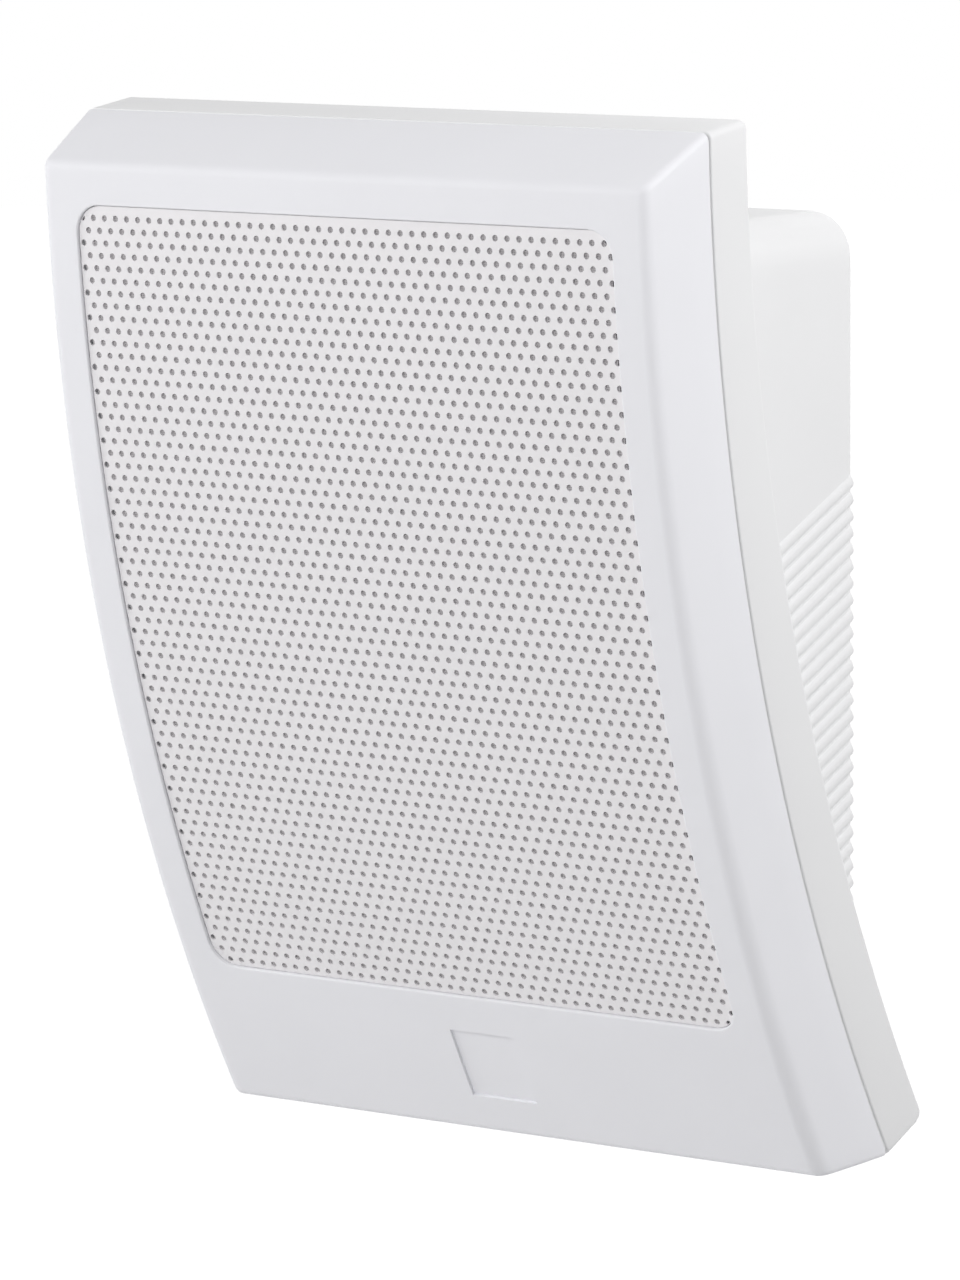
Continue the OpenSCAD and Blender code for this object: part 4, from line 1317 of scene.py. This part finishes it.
@dataclass
class RearShell:
    """The rear moulding: the slab's back, the box on the wall, its ribs and its wall fixings.

    Attributes:
        box_half, box_top, box_bottom, box_r: half the box's width, its ends as z and -z, and the
            radius of its corners.
        rib_stop: where the ribs end, as -z.
        back_wall: thickness of the wall that lies on the room's wall.
        groove, lip, ease: the joint line's groove: its depth, its width and its edge's radius.
        corner, back_r, foot_r: radii of the slab's corners, its back edge and its lowest edge.
        sag, sag_from: how far the slab's back lies deeper at its foot, and from where on in full.
        edge, fillet: radii of the box's back edge and of the hollow where it meets the slab.
        rib_pitch, rib_w, rib_h, rib_tilt, rib_start: spacing, width, height and tilt of the ribs,
            and the first one's place as -z.
        keyhole_x, entry_down, entry_r: places of the keyholes and of the cable entry, and the
            entry's radius.
        post_x, well_r: distance of the cabinet's screws from the middle, and radius of their wells.
        reach: how far a cutter stands past the wall that it cuts.
    """

    form: Form
    box_half: float = 74.4
    box_top: float = 31.0
    box_bottom: float = 162.0
    box_r: float = 11.0
    rib_stop: float = 156.0
    back_wall: float = 3.0
    groove: float = 0.55
    lip: float = 0.4
    ease: float = 0.55
    corner: float = 2.0
    back_r: float = 1.2
    foot_r: float = 3.6
    sag: float = 1.0
    sag_from: float = 210.0
    edge: float = 1.0
    fillet: float = 1.0
    rib_pitch: float = 4.15
    rib_w: float = 3.3
    rib_h: float = 0.62
    rib_tilt: float = 24.0
    rib_start: float = 33.1
    keyhole_x: float = 45.0
    entry_down: float = 106.0
    entry_r: float = 7.0
    post_x: float = 87.8
    well_r: float = 3.75
    reach: float = 2.0

    def build(self) -> bpy.types.Object:
        """Builds the shell, cuts its holes, then adds its ribs, tongue and posts.

        Returns:
            The new piece.
        """
        shell = Skin()
        shell.loft(np.concatenate([self.rings(False)[::-1], self.rings(True)]))
        piece = shell.object("rear_moulding")
        cut(piece, self.cutters())
        extra = Skin()
        self.ribs(extra)
        self.tongue(extra)
        self.posts(extra)
        join(piece, extra.object("rear_extra"))
        return piece

    def rings(self, outer: bool) -> np.ndarray:
        """Rings from the joint line round the slab's back edge and down the box to its back wall.

        Args:
            outer: the outer skin, or the inner one that lies a wall's thickness inside it.

        Returns:
            The rings, the last one shrunk to a line on the back wall.
        """
        form = self.form
        wall = 0.0 if outer else form.wall
        rear = form.frame_depth + form.rear_depth - wall
        start = form.frame_depth + form.joint_gap
        made: list[np.ndarray] = []

        def outline(depth: float, inset: float, give: float = 0.0,
                    foot_give: float = 0.0) -> np.ndarray:
            """A ring of the slab's outline.

            Args:
                depth, inset: its depth, and how far it lies inside the walls.
                give, foot_give: further inset of the sides and the top, and of the foot.

            Returns:
                Rows of x and s.
            """
            half, top, foot = form.spread(depth)
            ring = form.ring(half - inset - give, top + inset + give, foot - inset - foot_give,
                             max(0.4, self.corner - wall / 2 + give * 0.6))
            return form.softened(ring, depth)

        if outer:
            turns = np.linspace(0.5 * np.pi, 0.0, 5)
            steps = [(start, self.groove)]
            steps += [(start + self.lip + self.ease * (1.0 - math.sin(t)),
                       self.groove * (1.0 - math.cos(t))) for t in turns]
        else:
            steps = [(start, wall)]
        for depth, inset in steps:
            ring = outline(depth, inset)
            made.append(form.on_arc(ring[:, 0], ring[:, 1], depth))
        bend = self.back_r if outer else form.rear_round - wall
        foot_bend = self.foot_r if outer else bend
        for t in np.linspace(0.5 * np.pi, 0.0, 17 if outer else 5):
            height = foot_bend * (1.0 - math.cos(t))
            ring = outline(rear - height, wall, round_give(bend, height),
                           round_give(foot_bend, height))
            sag = self.sag * np.clip(ring[:, 1] / self.sag_from, 0.0, 1.0) ** 1.5
            made.append(form.on_arc(ring[:, 0], ring[:, 1], rear - height + sag))
        slab = ring
        last = self.on_slab(self.box_ring(self.fillet - wall), rear)
        for share in (0.02, 0.35, 0.7, 0.98, 1.0):
            ring = slab + (last - slab) * share
            made.append(form.on_arc(ring[:, 0], ring[:, 1], rear + sag * (1.0 - share)))
        return np.stack(made + self.box_rings(outer, wall, rear))

    def box_rings(self, outer: bool, wall: float, rear: float) -> list[np.ndarray]:
        """Rings from the slab's back down the box and over its back wall to its middle.

        Args:
            outer: the outer skin, or the inner one.
            wall: how far the skin lies inside the outer one.
            rear: depth of the slab's back.

        Returns:
            The rings, the last one shrunk to a line on the back wall.
        """
        form, made = self.form, []
        turns = np.linspace(0.0, 0.5 * np.pi, 4)[1:] if outer else [0.5 * np.pi]
        for t in turns:
            ring = self.on_slab(self.box_ring(self.fillet * (1.0 - math.sin(t)) - wall), rear)
            base = form.on_arc(ring[:, 0], ring[:, 1], rear)
            if outer:
                base[:, 1] += self.fillet * (1.0 - math.cos(t))
            made.append(base)
        floor = 0.0 if outer else -self.back_wall
        stop = floor - (self.edge if outer else 0.0)
        for share in (0.04, 0.5, 0.97, 1.0):
            row = base.copy()
            row[:, 1] += (stop - row[:, 1]) * share
            made.append(row)
        if outer:
            for t in np.linspace(0.0, 0.5 * np.pi, 5)[1:]:
                ring = self.box_ring(-self.edge * (1.0 - math.cos(t)))
                made.append(upright(ring, -self.edge * (1.0 - math.sin(t))))
        ring = self.box_ring(-self.edge - wall - 0.5)
        made.append(upright(ring, floor))
        flat = form.flat_half
        line = np.clip(ring[:, 1], flat - self.box_top, self.box_bottom - flat)
        made.append(upright(np.stack([0.0 * line, line], axis=-1), floor))
        return made

    def box_ring(self, grow: float) -> np.ndarray:
        """The box's outline grown by a length, as x and -z.

        Args:
            grow: the length, negative to shrink it.

        Returns:
            Rows of x and -z.
        """
        corner = self.box_r + grow if grow > 0 else self.box_r + grow / 2
        return self.form.ring(self.box_half + grow, -self.box_top - grow,
                              self.box_bottom + grow, corner)

    def on_slab(self, ring: np.ndarray, depth: float) -> np.ndarray:
        """Turns a ring of x and -z into x and s on the arc at a depth: r sin a = axis z - z.

        Args:
            ring: rows of x and -z.
            depth: the arc's depth below the face.

        Returns:
            Rows of x and s.
        """
        form = self.form
        a = np.arcsin((form.axis[1] + ring[:, 1]) / (form.face_radius - depth))
        s = (a - math.radians(form.top_lean)) * form.face_radius
        return np.stack([ring[:, 0], s], axis=-1)

    def cutters(self) -> list[bpy.types.Object]:
        """Solids of the keyholes, the cable entry and the screws' wells.

        Returns:
            The solids, as one object in a list.
        """
        skin = Skin()
        t = np.linspace(0.0, 2.0 * np.pi, 48, endpoint=False)
        for x in (-self.keyhole_x, self.keyhole_x):
            skin.loft(self.keyhole(x), caps=True)
        circle = self.entry_r * np.stack([np.cos(t), -np.sin(t)], axis=-1)
        skin.loft(self.through(circle + [0.0, self.entry_down]), caps=True)
        for x in (-self.post_x, self.post_x):
            for v in post_heights(self.form):
                low = self.form.drop(v, self.form.frame_depth)
                across, up = x + self.well_r * np.cos(t), v + self.well_r * np.sin(t)
                well = [self.form.on_mid(across, up, q) for q in (low - 26.0, low - 4.0)]
                skin.loft(np.stack(well), caps=True)
        return [skin.object("cutters")]

    def through(self, ring: np.ndarray) -> np.ndarray:
        """Two rings of a hole through the back wall, from its outline as x and -z."""
        return np.stack([upright(ring, y) for y in (self.reach, -self.back_wall - self.reach)])

    def keyhole(self, x: float) -> np.ndarray:
        """Two rings of a keyhole: a round entry with a narrower slot above it.

        Args:
            x: place of its middle.

        Returns:
            The rings, on both sides of the back wall.
        """
        r, slot, rise = 4.5, 2.25, 9.0
        start = math.asin(slot / r)
        big = np.linspace(0.5 * np.pi + start, 2.5 * np.pi - start, 40)
        small = np.linspace(0.0, np.pi, 16)
        xs = np.concatenate([r * np.cos(big), slot * np.cos(small)])
        zs = np.concatenate([r * np.sin(big), rise + slot * np.sin(small)])
        return self.through(np.stack([x + xs, -zs], axis=-1))

    def ribs(self, skin: Skin) -> None:
        """Adds the ribs: a low arc section carried along a line that rises towards the wall.

        The section's height is sqrt(R^2 - w^2) - (R - h) over its half width w, and its line runs
        from the wall plane to where it meets the slab, or to the box's bottom round.

        Args:
            skin: the mesh under construction.
        """
        form = self.form
        bow = (self.rib_w**2 / 4 + self.rib_h**2) / (2 * self.rib_h)
        w = np.linspace(-self.rib_w / 2, self.rib_w / 2, 11)
        h = np.sqrt(bow**2 - w**2) - (bow - self.rib_h)
        w = np.append(w, [self.rib_w / 2, -self.rib_w / 2])
        h = np.append(h, [-0.5, -0.5])
        tilt = math.radians(self.rib_tilt)
        along = np.array([-math.cos(tilt), -math.sin(tilt)])
        across = np.array([-math.sin(tilt), math.cos(tilt)])
        slab_r = form.face_radius - form.frame_depth - form.rear_depth
        for i in range(40):
            z0 = -self.rib_start - self.rib_pitch * (i + 0.5)
            reach = np.linspace(0.0, 90.0, 400)
            y, z = along[0] * reach, z0 + along[1] * reach
            in_slab = np.hypot(y - form.axis[0], z - form.axis[1]) > slab_r + 1.2
            ends = in_slab | (z < -self.rib_stop)
            if ends[0]:
                break
            length = reach[np.argmax(ends)]
            rows = np.array([0.0, 0.35, max(1.0, length)])
            lift = np.array([0.55, 1.0, 1.0])
            for sign in (-1.0, 1.0):
                y = along[0] * rows[:, None] + across[0] * w[None]
                z = z0 + along[1] * rows[:, None] + across[1] * w[None]
                x = sign * (self.box_half + h[None] * lift[:, None])
                ring = np.stack([x + 0.0 * y, np.minimum(y, -0.02), z], axis=-1)
                skin.loft(ring, caps=True)

    def tongue(self, skin: Skin) -> None:
        """Adds the lip that enters the front frame.

        Args:
            skin: the mesh under construction.
        """
        form = self.form
        rings = []
        for depth, inset in ((24.0, 2.3), (20.0, 2.7), (20.0, 3.9), (24.0, 3.9)):
            half, top, foot = form.spread(depth)
            ring = form.ring(half - inset, top + inset, foot - inset, 0.5)
            rings.append(form.on_arc(ring[:, 0], ring[:, 1], depth))
        skin.loft(np.stack(rings), closed_rows=True)

    def posts(self, skin: Skin) -> None:
        """Adds the walls of the screws' wells and the seats of the screws.

        Args:
            skin: the mesh under construction.
        """
        for x in (-self.post_x, self.post_x):
            for v in post_heights(self.form):
                low = self.form.drop(v, self.form.frame_depth)
                tube(skin, self.form, (x, v), (1.95, 3.95), (low - 4.0, low - 1.0))
                tube(skin, self.form, (x, v), (3.74, 4.75), (low - 12.6, low - 1.0))


def upright(ring: np.ndarray, y: float) -> np.ndarray:
    """Places in space of a ring of x and -z, at a distance y from the wall."""
    return np.stack([ring[:, 0], np.full(len(ring), y), -ring[:, 1]], axis=-1)


def join(piece: bpy.types.Object, other: bpy.types.Object) -> None:
    """Adds another object's mesh to a piece, with its shading, and removes the other.

    Args:
        piece: the object that stays.
        other: the object that is added to it.
    """
    work = bmesh.new()
    work.from_mesh(piece.data)
    work.from_mesh(other.data)
    work.to_mesh(piece.data)
    work.free()
    bpy.data.objects.remove(other)
    piece.data.update()


@dataclass
class Driver:
    """The moving cone and its suspension, turned about the driver's axis.

    Profiles are in millimetres as radius and depth from the baffle's back.

    Attributes:
        cone_r, roll_w, flange: outer radius of the cone, width of the roll and of its flanges.
        paper: thickness of the cone.
        coil_r, neck_r, neck_z: radii of the coil and of the cone's neck, and the neck's depth.
        ledge_z, rim_z: depths of the spider's ledge and of the basket's rim.
        spider_r: outer radius of the spider.
        wave_h, cloth_h: height of the spider's waves, and half its thickness.
        rib_at, rib_w, rib_h: places, width and height of the cone's pressed ribs.
        card: thickness of the small horn and of the cap's skirt.
    """

    form: Form
    cone_r: float = 57.5
    roll_w: float = 8.5
    flange: float = 3.0
    paper: float = 0.6
    coil_r: float = 12.5
    neck_r: float = 12.9
    neck_z: float = 21.37
    ledge_z: float = 27.48
    rim_z: float = 1.5
    spider_r: float = 40.0
    wave_h: float = 1.2
    cloth_h: float = 0.22
    rib_at: tuple[float, ...] = (0.18, 0.34, 0.5)
    rib_w: float = 0.018
    rib_h: float = 0.35
    card: float = 0.45

    def turned(self, name: str, profile: np.ndarray, turns: int = 144) -> bpy.types.Object:
        """Turns a closed profile about the driver's axis.

        Args:
            name: name of the piece.
            profile: closed outline of its section, as radius and depth.
            turns: number of steps round the axis.

        Returns:
            The new object.
        """
        x, v, down = np.moveaxis(lathe_rings(profile, turns), -1, 0)
        skin = Skin()
        skin.loft(self.form.on_mid(x, v, self.form.mount_q - down), closed_rows=True)
        return skin.object(name, crease=50.0, merge=5e-6)

    def soft(self, name: str, profile: np.ndarray, fixed: float, free: float) -> bpy.types.Object:
        """Turns a piece that stretches between the basket and the cone.

        Args:
            name: name of the piece.
            profile: closed outline of its section.
            fixed, free: radius that stays with the cabinet, and radius that moves with the cone.

        Returns:
            The new object, whose points follow the cone more the nearer they are to it.
        """
        piece = self.turned(name, profile)
        data = piece.data
        centre = Vector(self.form.on_mid(0.0, 0.0, self.form.mount_q) * MM)
        out = Vector(self.form.on_mid(0.0, 0.0, self.form.mount_q + 1.0) * MM) - centre
        out.normalize()
        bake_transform(piece, CABINET_BODY, CONE_BODY, start=tuple(centre),
                 end=tuple(centre + out * 0.01))
        place = np.zeros(len(data.vertices) * 3)
        data.vertices.foreach_get("co", place)
        arm = place.reshape(-1, 3) - np.array(centre)
        radius = np.linalg.norm(arm - (arm @ np.array(out))[:, None] * np.array(out), axis=1) / MM
        t = np.clip((radius - fixed) / (free - fixed), 0.0, 1.0)
        share = (t * t * (3 - 2 * t)).astype(np.float32)
        data.attributes["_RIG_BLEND"].data.foreach_set("value", share)
        return piece

    def surround(self) -> bpy.types.Object:
        """The half roll: z = z0 - r sin t across the roll, between two flat flanges.

        Returns:
            The new piece.
        """
        mid, r, z = self.cone_r + self.roll_w / 2, self.roll_w / 2, self.rim_z - 2 * self.paper
        t = np.linspace(0.0, np.pi, 19)
        outer = np.stack([mid - r * np.cos(t), z - r * np.sin(t)], axis=-1)
        r -= self.paper
        inner = np.stack([mid - r * np.cos(t), z + self.paper - r * np.sin(t)], axis=-1)
        limit = self.cone_r + self.roll_w
        glued, held = self.cone_r - self.flange, limit + self.flange + 0.5
        profile = np.concatenate([
            [[glued, z + self.paper], [glued, z]], outer,
            [[held, z], [held, self.rim_z], [limit - self.paper, self.rim_z]], inner[::-1]])
        return self.soft("surround_roll", profile, limit, self.cone_r)

    def spider(self) -> bpy.types.Object:
        """The corrugated disc: z = z0 - h sin u, four waves between flat inner and outer rings.

        Returns:
            The new piece.
        """
        u = np.linspace(0.0, 1.0, 73)
        r = self.neck_r + (self.spider_r - self.neck_r) * u
        share = np.clip((u - 0.1) / 0.72, 0.0, 1.0)
        wave = self.wave_h * np.sin(share * 8.0 * np.pi) * ((u > 0.1) & (u < 0.82))
        z = self.ledge_z - 0.25 - wave
        profile = np.concatenate([np.stack([r, z - self.cloth_h], -1),
                                  np.stack([r, z + self.cloth_h], -1)[::-1]])
        return self.soft("spider_disc", profile, self.spider_r - 4.0, self.neck_r + 1.5)

    def cone(self) -> bpy.types.Object:
        """The paper cone, slightly bowed: z = rim + depth u^0.93, with three pressed ribs.

        Returns:
            The new piece.
        """
        u = np.linspace(0.0, 1.0, 61)
        r = self.cone_r - 3.5 + (self.neck_r - self.cone_r + 3.5) * u
        top = self.rim_z - self.paper
        away = (u[:, None] - np.array(self.rib_at)) / self.rib_w
        ribs = self.rib_h * np.exp(-(away**2)).sum(axis=1)
        z = top + (self.neck_z - self.rim_z) * (u**0.93) - ribs
        front = np.stack([r, z], axis=-1)
        edge = self.cone_r - 0.5
        profile = np.concatenate([[[edge, top + self.paper], [edge, top]], front,
                                  (front + [0.0, self.paper])[::-1]])
        return self.turned("paper_cone", profile)

    def whizzer(self) -> bpy.types.Object:
        """The small inner horn: radius grows as the square of the way up to its rolled edge.

        Returns:
            The new piece.
        """
        u = np.linspace(0.0, 1.0, 33)
        r = self.neck_r + 0.05 + 17.0 * (0.55 * u + 0.45 * u**2)
        z = self.neck_z - self.paper - 2.0 - 13.9 * u**0.92
        front = np.stack([r, z - self.card], axis=-1)
        profile = np.concatenate([front, (front + [0.0, self.card])[::-1]])
        return self.turned("whizzer_horn", profile)

    def cap(self) -> bpy.types.Object:
        """The dust cap: an elliptic dome over the voice coil, with a short skirt.

        Returns:
            The new piece.
        """
        t = np.linspace(0.0, 0.5 * np.pi, 25)
        z = self.neck_z - self.paper - 3.0
        r = self.coil_r - 0.02
        outer = np.stack([np.maximum(r * np.sin(t), 0.02), z - 5.0 * np.cos(t)], axis=-1)
        within = r - self.card
        inner = np.stack([np.maximum(within * np.sin(t), 0.02), z - 4.6 * np.cos(t)], axis=-1)
        profile = np.concatenate([outer, [[r, z + 1.5], [within, z + 1.5]], inner[::-1]])
        return self.turned("dome_cap", profile, 96)

    def build(self, wardrobe: Wardrobe) -> None:
        """Builds and dresses the suspension and the moving pieces.

        Args:
            wardrobe: what dresses them.
        """
        wardrobe.replace(self.surround(), RUBBER, "surround", "rubber")
        wardrobe.replace(self.spider(), SPIDER, "spider", "spider_cloth")
        wardrobe.seat(self.cone(), CONE_PAPER, CONE_BODY, "cone", "cone_paper")
        wardrobe.seat(self.whizzer(), WHIZZER, CONE_BODY, "whizzer_cone", "whizzer_paper")
        wardrobe.seat(self.cap(), CAP, CONE_BODY, "dust_cap", "cap_cloth")


@dataclass
class Studio:
    """Camera, lamps, backdrop and floor.

    Attributes:
        eye: the camera's place in metres.
        aim: its turns about x, y and z in degrees.
        lens, sensor: focal length and the picture's long side, in millimetres.
        floor_z, floor_r: height and radius of the floor in metres.
        floor_grey, floor_glow: the floor's colour, and how brightly it shows of itself.
        dome: light from all round.
        lamps: each lamp's turn to the right of straight ahead and its height, both in degrees,
            its distance in metres, and its power in watts.
        lamp_size: side of each square lamp in metres.
        aim_at: where all lamps point.
    """

    eye: Triple = (1.0250, -1.4287, 0.1576)
    aim: Triple = (82.300, 0.389, 36.652)
    lens: float = 197.1
    sensor: float = 36.0
    floor_z: float = -0.62
    floor_r: float = 9.0
    floor_grey: float = 0.74
    floor_glow: float = 0.88
    dome: float = 0.256
    lamps: tuple[tuple[float, float, float, float], ...] = (
        (-60.0, 15.0, 1.3, 5.2),
        (-4.0, 18.0, 1.3, 7.9),
        (104.0, 30.0, 0.85, 5.6),
        (195.0, 30.0, 1.3, 2.8),
    )
    lamp_size: float = 0.7
    aim_at: Triple = (0.0, -0.06, -0.05)

    def build(self) -> None:
        """Sets up everything round the object."""
        self.camera()
        self.backdrop()
        self.floor()
        for k, lamp in enumerate(self.lamps):
            self.lamp(k, *lamp)
        bpy.context.scene.view_settings.view_transform = "Standard"

    def camera(self) -> None:
        """Makes the camera at the photograph's place."""
        data = bpy.data.cameras.new("camera")
        data.lens, data.sensor_width = self.lens, self.sensor
        data.clip_start, data.clip_end = 0.05, 50.0
        made = bpy.data.objects.new("camera", data)
        made.location = self.eye
        made.rotation_euler = Euler([math.radians(v) for v in self.aim], "XYZ")
        bpy.context.scene.collection.objects.link(made)
        bpy.context.scene.camera = made

    def lamp(self, number: int, turn: float, height: float, distance: float, power: float) -> None:
        """Adds one soft square lamp that points at the object and stays out of every view.

        Args:
            number: its number, for its name.
            turn, height: where it stands, in degrees.
            distance: its distance in metres.
            power: its power in watts.
        """
        data = bpy.data.lights.new(f"lamp_{number}", "AREA")
        data.size, data.energy = self.lamp_size, power
        made = bpy.data.objects.new(f"lamp_{number}", data)
        across, up = math.radians(turn), math.radians(height)
        level = math.cos(up)
        out = Vector((math.sin(across) * level, -math.cos(across) * level, math.sin(up)))
        made.location = Vector(self.aim_at) + out * distance
        made.rotation_euler = out.to_track_quat("Z", "Y").to_euler()
        made.visible_camera = False
        bpy.context.scene.collection.objects.link(made)

    def backdrop(self) -> None:
        """Makes the world: an even dome of light that shows as white."""
        world = bpy.data.worlds.new("studio")
        bpy.context.scene.world = world
        world.use_nodes = True
        tree = world.node_tree
        tree.nodes.clear()
        path = tree.nodes.new("ShaderNodeLightPath")
        seen, through = (tree.nodes.new("ShaderNodeMath") for _ in range(2))
        seen.operation = through.operation = "ADD"
        through.use_clamp = True
        mix = tree.nodes.new("ShaderNodeMix")
        mix.inputs["A"].default_value = self.dome
        mix.inputs["B"].default_value = 1.0
        light = tree.nodes.new("ShaderNodeBackground")
        light.inputs["Color"].default_value = (1.0, 1.0, 1.0, 1.0)
        output = tree.nodes.new("ShaderNodeOutputWorld")
        tree.links.new(path.outputs["Is Camera Ray"], seen.inputs[0])
        tree.links.new(path.outputs["Is Glossy Ray"], seen.inputs[1])
        tree.links.new(seen.outputs[0], through.inputs[0])
        tree.links.new(path.outputs["Is Transmission Ray"], through.inputs[1])
        tree.links.new(through.outputs[0], mix.inputs["Factor"])
        tree.links.new(mix.outputs["Result"], light.inputs["Strength"])
        tree.links.new(light.outputs["Background"], output.inputs["Surface"])

    def floor(self) -> None:
        """Makes the pale floor, a disc whose own glow for the camera hides its edge."""
        t = np.linspace(0.0, 2.0 * np.pi, 96, endpoint=False)
        r = self.floor_r / MM
        edge = np.stack([r * np.cos(t), r * np.sin(t), np.full(len(t), self.floor_z / MM)], -1)
        skin = Skin()
        skin.add(edge, [tuple(range(len(t)))])
        plane = skin.object("floor")
        recipe = Recipe("floor")
        shader = recipe.shader.inputs
        shader["Base Color"].default_value = (*[self.floor_grey] * 3, 1.0)
        shader["Roughness"].default_value = 0.9
        shader["Specular IOR Level"].default_value = 0.0
        shader["Emission Color"].default_value = (1.0, 1.0, 1.0, 1.0)
        path = recipe.node("ShaderNodeLightPath")
        seen = recipe.math("ADD", path.outputs["Is Camera Ray"], path.outputs["Is Glossy Ray"])
        recipe.join(recipe.math("MULTIPLY", seen, self.floor_glow), shader["Emission Strength"])
        plane.data.materials.append(recipe.material)


def main() -> None:
    """Builds the speaker's looks on the frame, in order from the outside in."""
    logging.basicConfig(level=logging.INFO, format="%(name)s: %(message)s")
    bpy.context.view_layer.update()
    form = Form()
    Studio().build()
    wardrobe, grille = Wardrobe(), Grille(form)
    wardrobe.seat(FrontFrame(form).build(), FRONT, CABINET_BODY, "front_frame", "front_plastic")
    wardrobe.seat(grille.build(), SHEET, CABINET_BODY, "grille", "grille_steel")
    wardrobe.seat(grille.cloth(), CLOTH, CABINET_BODY, "grille_cloth", "cloth")
    wardrobe.seat(RearShell(form).build(), SHELL, CABINET_BODY, "rear_shell", "shell_plastic")
    Driver(form).build(wardrobe)
    wardrobe.dress_carried(frame["nodes"])


if __name__ == "__main__":
    main()
